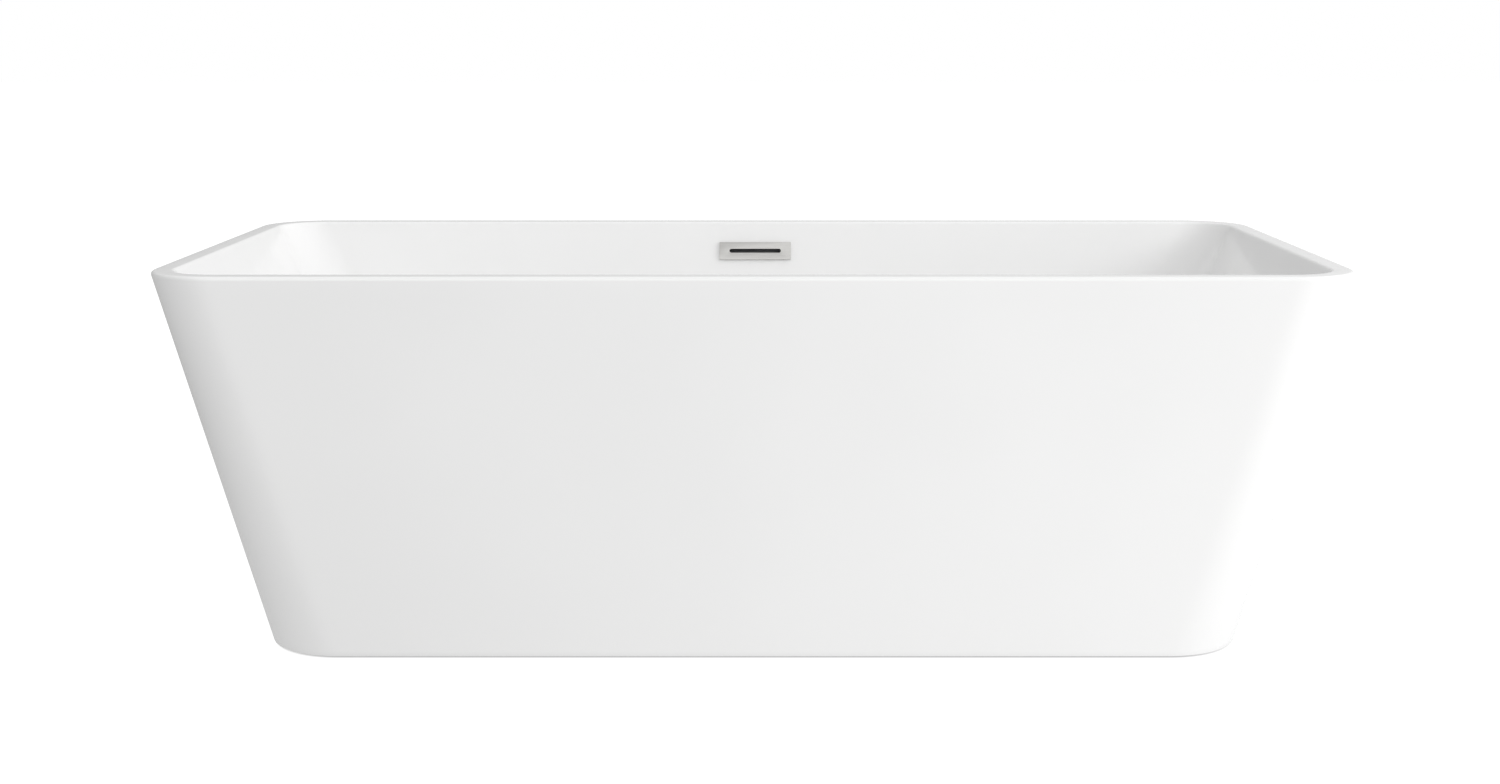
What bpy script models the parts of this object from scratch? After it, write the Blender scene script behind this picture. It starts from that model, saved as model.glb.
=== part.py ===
"""Freestanding acrylic bathtub: a basin and a skirt bonded at the rim, on a steel levelling frame.

Metres, +Z up. The tub stands on z = 0 with its length along X and its front facing -Y.
The overflow is on the +Y side. Every physical piece is one object.
"""
import math

import bmesh
import bpy
from mathutils import Matrix, Vector

# ---- outside ------------------------------------------------------------------------------
LENGTH = 1.700                  # over the rim
WIDTH = 0.800
HEIGHT = 0.585
BASE_LENGTH = 1.472             # over the skirt, carried down to the floor
BASE_WIDTH = 0.560
CORNER_RIM = 0.100              # plan radius of the outer corners, at the rim and at the floor
CORNER_BASE = 0.118
RIM_WIDTH = 0.030
RIM_OUTER_ROUND = 0.005
RIM_INNER_ROUND = 0.006
RIM_THICKNESS = 0.006
LIP_DEPTH = 0.024               # the basin's turned-down edge, which meets the skirt flush
LIP_THICKNESS = 0.005
SKIRT_WALL = 0.005
SKIRT_CLEARANCE = 0.003         # under the skirt, so that the feet carry the tub

# ---- basin --------------------------------------------------------------------------------
FLOOR_LENGTH = 1.180            # where the basin's walls would meet its floor
FLOOR_WIDTH = 0.468
FLOOR_HEIGHT = 0.136
FLOOR_FALL = 0.006              # towards the drain
FLOOR_THICKNESS = 0.008         # at the drain
BASIN_WALL = 0.005
CORNER_OPENING = 0.070          # plan radius of the basin's corners, at the rim and at the floor
CORNER_FLOOR = 0.105
FLOOR_FILLET = 0.045
DRAIN_FLAT = 0.050              # half size of the level area round the drain
DRAIN_FLAT_CORNER = 0.040

# ---- fits ---------------------------------------------------------------------------------
GAP = 0.0003                    # between pieces that touch
SLIDE_GAP = 0.0006              # round pieces that move
CUT_PAST = 0.010                # how far a cutter runs past what it cuts
EDGE_BEVEL = 0.001              # on turned edges

# ---- bond, board and frame ----------------------------------------------------------------
BOND_HEIGHT = 0.016
BOARD_LENGTH = 1.000
BOARD_WIDTH = 0.360
BOARD_THICKNESS = 0.015
BOARD_CORNER = 0.030
BOARD_HOLE = 0.062              # radius of the opening round the drain
TUBE_SIDE = 0.025
TUBE_WALL = 0.002
TUBE_CORNER = 0.004
RAIL_LENGTH = 1.080
RAIL_SPACING = 0.260            # between the two rails' middles
CROSSBAR_PLACES = (-0.480, -0.200, 0.200, 0.480)
CROSSBAR_END_GAP = 0.012        # from a crossbar's end to the skirt's inner face
SCREW_PLACES = (-0.400, -0.300, 0.300, 0.400)
SCREW_RADIUS = 0.003
SCREW_HEAD_RADIUS = 0.0065
SCREW_HEAD_HEIGHT = 0.004
SCREW_HEAD_FLAT = 0.0045        # radius of the head's outer face
SCREW_BITE = 0.010              # into the board
BRACKET_WIDTH = 0.040
BRACKET_HEIGHT = 0.045
BRACKET_THICKNESS = 0.003
BRACKET_LEG = 0.040             # along the crossbar

# ---- feet ---------------------------------------------------------------------------------
FOOT_INSET = 0.075              # from the skirt's base line to a foot's axis
STUD_RADIUS = 0.006
STUD_ABOVE = 0.013              # over the crossbar
PAD_RADIUS = 0.025
PAD_WAIST = 0.0125
PAD_HEIGHT = 0.015
PAD_EDGE_HEIGHT = 0.005
PAD_SOCKET_DEPTH = 0.009
WELD_NUT_HEIGHT = 0.010
LOCKNUT_HEIGHT = 0.007
NUT_RADIUS = 0.0105             # over a nut's corners

# ---- drain --------------------------------------------------------------------------------
DRAIN_HOLE = 0.026              # all of these are radii
DRAIN_BODY = 0.024
DRAIN_BORE = 0.020
DRAIN_FLANGE = 0.035
FLANGE_HEIGHT = 0.0035
FLANGE_SEAL_HEIGHT = 0.0015
FLANGE_SEAL_INSET = 0.002       # from the flange's edge to the seal's
DRAIN_BODY_LENGTH = 0.052       # from the basin's floor to the body's lower end
GASKET_HEIGHT = 0.003
LOCKRING_HEIGHT = 0.008
LOCKRING_RADIUS = 0.036
LOCKRING_FLANGE = 0.003         # height of its wide part
LOCKRING_STEP = 0.004           # how much wider that part is
STRAINER_HEIGHT = 0.003
STRAINER_DEPTH = 0.034          # below the flange's top
STRAINER_HOLE = 0.0045
STRAINER_HOLES = 6
CARTRIDGE_RADIUS = 0.0075
CARTRIDGE_LENGTH = 0.028
CARTRIDGE_ABOVE = 0.010         # how much of the cartridge stands over the strainer
STEM_RADIUS = 0.004
CAP_RADIUS = 0.0315
CAP_HEIGHT = 0.005
CAP_CROWN = 0.0025              # height of the cap's domed part
CAP_LIFT = 0.009                # how far the stopper rises when it is open
CAP_SEAT = 0.0006
STOPPER_SEAL_RADIUS = 0.0185
STOPPER_SEAL_HEIGHT = 0.004
RETAINER_RADIUS = 0.0065
RETAINER_HEIGHT = 0.005
STEM_TAIL = 0.003               # below the retainer

# ---- waste --------------------------------------------------------------------------------
TEE_RADIUS = 0.030
TEE_OVERLAP = 0.030             # how far the tee goes up over the drain body
TEE_DROP = 0.038                # from the drain body's lower end to the tee's
PORT_DROP = 0.016               # from the drain body's lower end to the port's axis
PORT_RADIUS = 0.0155
PORT_REACH = 0.070              # from the drain's axis to the port's mouth
PORT_START = 0.006              # from the drain's axis to the port's bore
TAIL_RADIUS = 0.0195
TAIL_BOTTOM = 0.022
TAIL_WALL = 0.002
TAIL_INSERT = 0.012
TAIL_NUT_RADIUS = 0.028
TAIL_NUT_HEIGHT = 0.011

# ---- overflow -----------------------------------------------------------------------------
OVERFLOW_DROP = 0.051           # from the rim to the plate's middle
PLATE_LENGTH = 0.125
PLATE_HEIGHT = 0.033
PLATE_THICKNESS = 0.004
PLATE_CORNER = 0.0012
PLATE_BEVEL = 0.0006
SLOT_LENGTH = 0.090
SLOT_HEIGHT = 0.007
OVERFLOW_HOLE_LENGTH = 0.102
OVERFLOW_HOLE_HEIGHT = 0.020
CLIP_HEIGHT = 0.012
CLIP_LENGTH = 0.010             # how far the plate's spring legs reach into the hole
CLIP_THICKNESS = 0.002
CLIP_CORNER = 0.0004
OVERFLOW_SEAL_THICKNESS = 0.002
HOUSING_LENGTH = 0.118
HOUSING_HEIGHT = 0.036
HOUSING_DEPTH = 0.014
HOUSING_WALL = 0.0025
HOUSING_CORNER = 0.006
SPIGOT_LENGTH = 0.050
SPIGOT_SETBACK = 0.0004         # from the housing's open side to the spigot's near side
PIPE_RADIUS = 0.011
PIPE_WALL = 0.002
PIPE_BEND = 0.050
PIPE_INSERT = 0.012             # into the tee's port
COUPLING_WALL = 0.0022
COUPLING_LENGTH = 0.024
COUPLING_CLEARANCE = 0.0012     # round the coupling, to the basin and to the skirt
PORT_NUT_LENGTH = 0.013
PORT_NUT_RADIUS = 0.019

# ---- resolution ---------------------------------------------------------------------------
CORNER_STEPS = 8
ROUND_STEPS = 5
TURN_STEPS = 32
PIPE_STEPS = 24
SMALL_TURN_STEPS = 16
FILLET_ANGLES = (0, 16, 32, 48, 64)      # degrees up the round between floor and wall
INNER_EDGE_START = 15                    # degrees where the rim's inner round begins
OUTER_EDGE_START = -11                   # degrees where its outer round begins

FACE_OUT = Matrix.Rotation(math.pi / 2, 4, "X")     # turns a body along Z to lie along -Y

# ---- heights that follow from the sizes above ---------------------------------------------
DRAIN_LEVEL = FLOOR_HEIGHT - FLOOR_FALL
FLOOR_UNDERSIDE = DRAIN_LEVEL - FLOOR_THICKNESS
BOARD_TOP = FLOOR_UNDERSIDE - GAP
BOARD_BOTTOM = BOARD_TOP - BOARD_THICKNESS
RAIL_TOP = BOARD_BOTTOM - GAP
RAIL_MIDDLE = RAIL_TOP - TUBE_SIDE / 2
CROSSBAR_TOP = RAIL_TOP - TUBE_SIDE - GAP
CROSSBAR_MIDDLE = CROSSBAR_TOP - TUBE_SIDE / 2
CROSSBAR_BOTTOM = CROSSBAR_TOP - TUBE_SIDE
LIP_BOTTOM = HEIGHT - LIP_DEPTH
FLANGE_BOTTOM = DRAIN_LEVEL + 2 * GAP + FLANGE_SEAL_HEIGHT
FLANGE_TOP = FLANGE_BOTTOM + FLANGE_HEIGHT
STRAINER_TOP = FLANGE_TOP - STRAINER_DEPTH
CARTRIDGE_TOP = STRAINER_TOP + CARTRIDGE_ABOVE
CARTRIDGE_BOTTOM = CARTRIDGE_TOP - CARTRIDGE_LENGTH
CAP_BOTTOM = FLANGE_TOP + CAP_SEAT + CAP_LIFT
DRAIN_BODY_BOTTOM = DRAIN_LEVEL - DRAIN_BODY_LENGTH
TEE_TOP = DRAIN_BODY_BOTTOM + TEE_OVERLAP
TEE_BOTTOM = DRAIN_BODY_BOTTOM - TEE_DROP
PORT_HEIGHT = DRAIN_BODY_BOTTOM - PORT_DROP
STUD_TOP = CROSSBAR_TOP + STUD_ABOVE


# ---- building blocks ----------------------------------------------------------------------
def clear_scene():
    for item in list(bpy.data.objects):
        bpy.data.objects.remove(item, do_unlink=True)


def finish(name, colour, roughness, metallic=0.0):
    """One material: its base colour, roughness and metallic value."""
    material = bpy.data.materials.new(name)
    material.use_nodes = True
    shader = material.node_tree.nodes["Principled BSDF"]
    shader.inputs["Base Color"].default_value = (*colour, 1.0)
    shader.inputs["Roughness"].default_value = roughness
    shader.inputs["Metallic"].default_value = metallic
    material.diffuse_color = (*colour, 1.0)
    return material


def mix(low, high, share):
    return low + (high - low) * share


def add_piece(name, bm, material, origin=(0, 0, 0), turn=None, sharp=30):
    """Make one object of bm, which is in world places unless turn sets it in place."""
    bmesh.ops.recalc_face_normals(bm, faces=bm.faces)
    if turn:
        bmesh.ops.transform(bm, matrix=turn, verts=bm.verts)
    bmesh.ops.translate(bm, vec=-Vector(origin), verts=bm.verts)
    mesh = bpy.data.meshes.new(name)
    bm.to_mesh(mesh)
    bm.free()
    mesh.materials.append(material)
    mesh.shade_smooth()
    mesh.set_sharp_from_angle(angle=math.radians(sharp))
    piece = bpy.data.objects.new(name, mesh)
    piece.location = origin
    bpy.context.collection.objects.link(piece)
    return piece


def combine(piece, tool_bm, operation, turn=None):
    """Join tool_bm to a piece, or cut it away, with a live Boolean."""
    tool = add_piece(f"{piece.name}_tool", tool_bm, piece.data.materials[0], turn=turn)
    tool.hide_render = True
    tool.display_type = "WIRE"
    modifier = piece.modifiers.new(operation.title(), "BOOLEAN")
    modifier.object = tool
    modifier.operation = operation
    modifier.solver = "EXACT"


def loop_places(half_x, half_y, radius, z, steps):
    """Points round a level rectangle with round corners."""
    places = []
    for quarter, (side_x, side_y) in enumerate(((1, 1), (-1, 1), (-1, -1), (1, -1))):
        for step in range(steps + 1):
            angle = math.pi / 2 * (quarter + step / steps)
            x = side_x * (half_x - radius) + radius * math.cos(angle)
            y = side_y * (half_y - radius) + radius * math.sin(angle)
            places.append((x, y, z))
    return places


def loop_edges(bm, verts):
    """The edges round a loop of vertices, made where they are missing."""
    pairs = [(verts[i - 1], verts[i]) for i in range(len(verts))]
    return [bm.edges.get(pair) or bm.edges.new(pair) for pair in pairs]


def loft(sections, ring=False, steps=CORNER_STEPS):
    """A closed body through level sections: capped at both ends, or joined into a ring."""
    bm = bmesh.new()
    verts = [bm.verts.new(place) for place in loop_places(*sections[0], steps)]
    ends = [loop_edges(bm, verts)]
    following = sections[1:] + sections[:1] if ring else sections[1:]
    for section in following:
        grown = set(bmesh.ops.extrude_edge_only(bm, edges=loop_edges(bm, verts))["geom"])
        verts = [next(edge.other_vert(vert) for edge in vert.link_edges
                      if edge.other_vert(vert) in grown) for vert in verts]
        for vert, place in zip(verts, loop_places(*section, steps)):
            vert.co = place
    ends.append(loop_edges(bm, verts))
    if ring:
        bmesh.ops.remove_doubles(bm, verts=bm.verts, dist=1e-6)
    else:
        for edges in ends:
            bmesh.ops.contextual_create(bm, geom=edges)
    return bm


def round_end(height):
    """Corner radius of a slot with round ends, a little under half its height."""
    return height * 0.48


def rounded_box(size_x, size_y, z_low, z_high, radius, steps=3):
    return loft([(size_x / 2, size_y / 2, radius, z) for z in (z_low, z_high)], steps=steps)


def turned(outline, steps=TURN_STEPS):
    """A body turned about Z from (radius, z) points: a ring, or solid where it starts on Z."""
    bm = bmesh.new()
    verts = [bm.verts.new((radius, 0, z)) for radius, z in outline]
    solid = outline[0][0] == 0
    ends = verts[1:] if solid else verts[1:] + verts[:1]
    edges = [bm.edges.new(pair) for pair in zip(verts, ends)]
    bmesh.ops.spin(bm, geom=verts + edges, cent=(0, 0, 0), axis=(0, 0, 1), dvec=(0, 0, 0),
                   angle=2 * math.pi, steps=steps, use_merge=True, use_duplicate=False)
    bmesh.ops.remove_doubles(bm, verts=bm.verts, dist=1e-6)
    return bm


def ring(outer, inner, z_low, z_high, steps=TURN_STEPS):
    return turned([(inner, z_low), (outer, z_low), (outer, z_high), (inner, z_high)], steps)


def rod(radius, z_low, z_high, steps=SMALL_TURN_STEPS):
    return turned([(0, z_low), (radius, z_low), (radius, z_high), (0, z_high)], steps)


def merged(bodies):
    """Several separate bodies in one bmesh, for a cutter with more than one part."""
    whole = bmesh.new()
    for body in bodies:
        scratch = bpy.data.meshes.new("scratch")
        body.to_mesh(scratch)
        body.free()
        whole.from_mesh(scratch)
        bpy.data.meshes.remove(scratch)
    return whole


def moved(bm, x=0.0, y=0.0, z=0.0):
    bmesh.ops.translate(bm, vec=(x, y, z), verts=bm.verts)
    return bm


# ---- the tub's outline --------------------------------------------------------------------
def outer_lean(top_half, base_half):
    """Angle from upright of an outer wall that runs into the rim's outer round."""
    run = top_half - RIM_OUTER_ROUND - base_half
    rise = HEIGHT - RIM_OUTER_ROUND
    return math.atan2(run, rise) + math.asin(RIM_OUTER_ROUND / math.hypot(run, rise))


def outer_wall(z, top_half, base_half):
    return base_half + z * math.tan(outer_lean(top_half, base_half))


def outer_half(z, top_half, base_half):
    """Half size of the outside at height z, with the rim's outer edge rounded."""
    lean = outer_lean(top_half, base_half)
    middle = HEIGHT - RIM_OUTER_ROUND
    if z < middle - RIM_OUTER_ROUND * math.sin(lean):
        return outer_wall(z, top_half, base_half)
    reach = RIM_OUTER_ROUND ** 2 - (z - middle) ** 2
    return top_half - RIM_OUTER_ROUND + math.sqrt(max(reach, 0.0))


def outside(z, inset=0.0):
    """Section of the outside at height z, moved in by inset."""
    half_x = outer_half(z, LENGTH / 2, BASE_LENGTH / 2)
    half_y = outer_half(z, WIDTH / 2, BASE_WIDTH / 2)
    drawn_in = outer_wall(z, WIDTH / 2, BASE_WIDTH / 2) - half_y
    corner = mix(CORNER_BASE, CORNER_RIM, z / HEIGHT) - drawn_in
    return half_x - inset, half_y - inset, corner - inset, z


def basin_lean(top_half, floor_half):
    return math.atan2(top_half - floor_half, HEIGHT - FLOOR_HEIGHT)


def basin_wall(z, top_half, floor_half, grow):
    """Half size of a basin wall's plane at height z; grow moves it square to its face."""
    lean = basin_lean(top_half, floor_half)
    return floor_half + (z - FLOOR_HEIGHT) * math.tan(lean) + grow / math.cos(lean)


def basin_half(z, top_half, floor_half, grow, floor):
    """Half size of the basin at height z, with its floor fillet and its rounded rim edge."""
    lean = basin_lean(top_half, floor_half)
    fillet = FLOOR_FILLET + grow
    wall = basin_wall(z, top_half, floor_half, grow)
    if z < floor + fillet * (1 - math.sin(lean)):
        middle = basin_wall(floor + fillet, top_half, floor_half, grow) - fillet / math.cos(lean)
        return middle + math.sqrt(max(fillet ** 2 - (floor + fillet - z) ** 2, 0.0))
    edge = HEIGHT - RIM_INNER_ROUND
    if grow == 0 and z > edge + RIM_INNER_ROUND * math.sin(lean):
        middle = basin_wall(edge, top_half, floor_half, grow) + RIM_INNER_ROUND / math.cos(lean)
        return middle - math.sqrt(max(RIM_INNER_ROUND ** 2 - (z - edge) ** 2, 0.0))
    return wall


def basin(z, grow=0.0, floor=FLOOR_HEIGHT):
    """Section of the basin at height z; grow and floor give its outer side."""
    sides = ((LENGTH / 2 - RIM_WIDTH, FLOOR_LENGTH / 2), (WIDTH / 2 - RIM_WIDTH, FLOOR_WIDTH / 2))
    half_x, half_y = (basin_half(z, top, low, grow, floor) for top, low in sides)
    drawn_in = basin_wall(z, *sides[1], grow) - half_y
    share = (z - FLOOR_HEIGHT) / (HEIGHT - FLOOR_HEIGHT)
    corner = mix(CORNER_FLOOR, CORNER_OPENING, share) + grow - drawn_in
    return half_x, half_y, corner, z


def fillet_heights(floor, radius):
    """Heights up the fillet between the floor and the walls."""
    return [floor + radius * (1 - math.cos(math.radians(a))) for a in FILLET_ANGLES]


def edge_heights(radius, last):
    """Heights round a rim edge, from its lower end at the angle last up to the flat top."""
    angles = [mix(last, 90, step / ROUND_STEPS) for step in range(ROUND_STEPS + 1)]
    return [HEIGHT - radius * (1 - math.sin(math.radians(a))) for a in angles]


# ---- shells -------------------------------------------------------------------------------
def inner_shell(white):
    """The basin, its rim and the rim's turned-down lip, in one thermoformed sheet."""
    wall_foot = fillet_heights(FLOOR_HEIGHT, FLOOR_FILLET)
    inside = [basin(z) for z in wall_foot + edge_heights(RIM_INNER_ROUND, INNER_EDGE_START)]
    over = [outside(z) for z in reversed(edge_heights(RIM_OUTER_ROUND, OUTER_EDGE_START))]
    lip = [outside(LIP_BOTTOM), outside(LIP_BOTTOM, LIP_THICKNESS)]
    shelf = HEIGHT - RIM_THICKNESS
    under = [outside(shelf, LIP_THICKNESS), basin(shelf, BASIN_WALL, FLOOR_UNDERSIDE)]
    foot = fillet_heights(FLOOR_UNDERSIDE, FLOOR_FILLET + BASIN_WALL)
    back = [basin(z, BASIN_WALL, FLOOR_UNDERSIDE) for z in reversed(foot)]
    flat = [(DRAIN_FLAT, DRAIN_FLAT, DRAIN_FLAT_CORNER, DRAIN_LEVEL)]
    shell = add_piece("inner_shell", loft(flat + inside + over + lip + under + back), white)
    drain_hole = rod(DRAIN_HOLE, FLOOR_UNDERSIDE - CUT_PAST, DRAIN_LEVEL + CUT_PAST, TURN_STEPS)
    combine(shell, drain_hole, "DIFFERENCE")
    hole = panel(OVERFLOW_HOLE_LENGTH, OVERFLOW_HOLE_HEIGHT, -CUT_PAST, BASIN_WALL + CUT_PAST,
                 round_end(OVERFLOW_HOLE_HEIGHT), steps=4)
    combine(shell, hole, "DIFFERENCE", turn=overflow_place())


def outer_shell(white):
    """The skirt: four leaning walls with round corners, open above and below."""
    top = LIP_BOTTOM - GAP
    outer = [outside(SKIRT_CLEARANCE), outside(top)]
    inner = [outside(top, SKIRT_WALL), outside(SKIRT_CLEARANCE, SKIRT_WALL)]
    add_piece("outer_shell", loft(outer + inner, ring=True), white)


def rim_bond(resin):
    """The bead of filled resin under the rim, between the lip and the basin."""
    top = HEIGHT - RIM_THICKNESS - GAP
    low = top - BOND_HEIGHT
    outer = [outside(z, LIP_THICKNESS + GAP) for z in (low, top)]
    inner = [basin(z, BASIN_WALL + GAP, FLOOR_UNDERSIDE) for z in (top, low)]
    add_piece("rim_bond", loft(outer + inner, ring=True), resin)


# ---- board and frame ----------------------------------------------------------------------
def screw_places():
    sides = (-RAIL_SPACING / 2, RAIL_SPACING / 2)
    return [(x, y) for y in sides for x in SCREW_PLACES]


def base_board(wood):
    """The board laminated under the basin's floor, open round the drain."""
    board = add_piece("base_board", rounded_box(BOARD_LENGTH, BOARD_WIDTH, BOARD_BOTTOM,
                                                BOARD_TOP, BOARD_CORNER), wood)
    holes = [rod(BOARD_HOLE, BOARD_BOTTOM - CUT_PAST, BOARD_TOP + CUT_PAST, TURN_STEPS)]
    pilot_top = BOARD_BOTTOM + SCREW_BITE + GAP
    for x, y in screw_places():
        pilot = rod(SCREW_RADIUS + GAP, BOARD_BOTTOM - CUT_PAST, pilot_top)
        holes.append(moved(pilot, x, y))
    combine(board, merged(holes), "DIFFERENCE")


def tube(length):
    """A square tube along Z, open at both ends."""
    half, corner = TUBE_SIDE / 2, TUBE_CORNER
    outer = [(half, half, corner, z) for z in (-length / 2, length / 2)]
    inside = half - TUBE_WALL
    inner = [(inside, inside, corner - TUBE_WALL, z) for z in (length / 2, -length / 2)]
    return loft(outer + inner, ring=True, steps=2)


def frame_rails(steel):
    """Two long tubes under the board, drilled for the screws."""
    for name, side in (("frame_rail_front", -1), ("frame_rail_back", 1)):
        y = side * RAIL_SPACING / 2
        turn = Matrix.Translation((0, y, RAIL_MIDDLE)) @ Matrix.Rotation(math.pi / 2, 4, "Y")
        rail = add_piece(name, tube(RAIL_LENGTH), steel, turn=turn)
        drills = [moved(rod(SCREW_RADIUS + GAP, CROSSBAR_TOP - CUT_PAST, RAIL_TOP + CUT_PAST), x, y)
                  for x in SCREW_PLACES]
        combine(rail, merged(drills), "DIFFERENCE")


def frame_screws(zinc):
    """Wood screws up through the rails into the board."""
    head_top = RAIL_TOP - TUBE_SIDE - GAP
    head_low = head_top - SCREW_HEAD_HEIGHT
    tip = BOARD_BOTTOM + SCREW_BITE
    outline = [(0, head_low), (SCREW_HEAD_FLAT, head_low), (SCREW_HEAD_RADIUS, head_top),
               (SCREW_RADIUS, head_top), (SCREW_RADIUS, tip - SCREW_RADIUS), (0, tip)]
    for number, (x, y) in enumerate(screw_places(), 1):
        screw = moved(turned(outline, SMALL_TURN_STEPS), x, y)
        add_piece(f"frame_screw_{number}", screw, zinc, origin=(x, y, head_top))


def crossbar_half():
    """Half length of a crossbar: it stops short of the skirt's inner face."""
    return outer_wall(CROSSBAR_BOTTOM, WIDTH / 2, BASE_WIDTH / 2) - SKIRT_WALL - CROSSBAR_END_GAP


def foot_offset():
    return BASE_WIDTH / 2 - FOOT_INSET


def frame_crossbars(steel):
    """Four tubes across the tub under the rails; the outer two carry the feet."""
    for number, x in enumerate(CROSSBAR_PLACES, 1):
        turn = Matrix.Translation((x, 0, CROSSBAR_MIDDLE)) @ Matrix.Rotation(math.pi / 2, 4, "X")
        bar = add_piece(f"frame_crossbar_{number}", tube(2 * crossbar_half()), steel, turn=turn)
        if (x, 1) in foot_bars():
            drills = [moved(rod(STUD_RADIUS + SLIDE_GAP, CROSSBAR_BOTTOM - CUT_PAST,
                                CROSSBAR_TOP + CUT_PAST), x, side * foot_offset())
                      for side in (-1, 1)]
            combine(bar, merged(drills), "DIFFERENCE")


def skirt_brackets(steel):
    """Bent plates at the ends of the outer crossbars that hold the skirt's foot in line."""
    lean = outer_lean(WIDTH / 2, BASE_WIDTH / 2)
    low, high = CROSSBAR_BOTTOM - GAP - BRACKET_THICKNESS, CROSSBAR_BOTTOM - GAP
    numbers = iter(range(1, 5))
    for x in (CROSSBAR_PLACES[0], CROSSBAR_PLACES[-1]):
        for side in (-1, 1):
            face = outer_wall(low, WIDTH / 2, BASE_WIDTH / 2) - SKIRT_WALL / math.cos(lean) - GAP
            bm = bmesh.new()
            start = face - BRACKET_LEG
            rise = BRACKET_HEIGHT * math.cos(lean)
            run = BRACKET_HEIGHT * math.sin(lean)
            outline = [(start, low), (face, low), (face + run, low + rise),
                       (face + run - BRACKET_THICKNESS, low + rise),
                       (face + (high - low) * math.tan(lean) - BRACKET_THICKNESS, high),
                       (start, high)]
            verts = [bm.verts.new((x - BRACKET_WIDTH / 2, side * y, z)) for y, z in outline]
            plate = bm.faces.new(verts)
            grown = bmesh.ops.extrude_face_region(bm, geom=[plate])["geom"]
            bmesh.ops.translate(bm, vec=(BRACKET_WIDTH, 0, 0),
                                verts=[v for v in grown if isinstance(v, bmesh.types.BMVert)])
            add_piece(f"skirt_bracket_{next(numbers)}", bm, steel)


# ---- feet ---------------------------------------------------------------------------------
def foot_bars():
    """The crossbars that carry feet, each with both of its sides."""
    return [(x, side) for x in (CROSSBAR_PLACES[0], CROSSBAR_PLACES[-1]) for side in (-1, 1)]


def hex_prism(radius, z_low, z_high):
    return turned([(0, z_low), (radius, z_low), (radius, z_high), (0, z_high)], 6)


def feet(steel, zinc, rubber):
    """Four levelling feet: pad, threaded stud, locknut and the nut welded to the crossbar."""
    weld_high = CROSSBAR_BOTTOM - GAP
    weld_low = weld_high - WELD_NUT_HEIGHT
    lock_high = weld_low - GAP
    socket = PAD_HEIGHT - PAD_SOCKET_DEPTH
    pad = [(0, 0), (PAD_RADIUS, 0), (PAD_RADIUS, PAD_EDGE_HEIGHT), (PAD_WAIST, PAD_HEIGHT),
           (STUD_RADIUS + GAP, PAD_HEIGHT), (STUD_RADIUS + GAP, socket), (0, socket)]
    stud = [(0, socket + GAP), (STUD_RADIUS, socket + GAP), (STUD_RADIUS, STUD_TOP - EDGE_BEVEL),
            (STUD_RADIUS - EDGE_BEVEL, STUD_TOP), (0, STUD_TOP)]
    for number, (x, side) in enumerate(foot_bars(), 1):
        y = side * foot_offset()
        add_piece(f"foot_{number}_pad", moved(turned(pad, PIPE_STEPS), x, y), rubber,
                  origin=(x, y, 0))
        add_piece(f"foot_{number}_stud", moved(turned(stud, SMALL_TURN_STEPS), x, y), zinc,
                  origin=(x, y, PAD_HEIGHT))
        for name, low, high, look in (("weld_nut", weld_low, weld_high, steel),
                                      ("locknut", lock_high - LOCKNUT_HEIGHT, lock_high, zinc)):
            nut = add_piece(f"foot_{number}_{name}", moved(hex_prism(NUT_RADIUS, low, high), x, y),
                            look, origin=(x, y, low))
            bore = rod(STUD_RADIUS + SLIDE_GAP, low - CUT_PAST, high + CUT_PAST)
            combine(nut, moved(bore, x, y), "DIFFERENCE")


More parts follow.
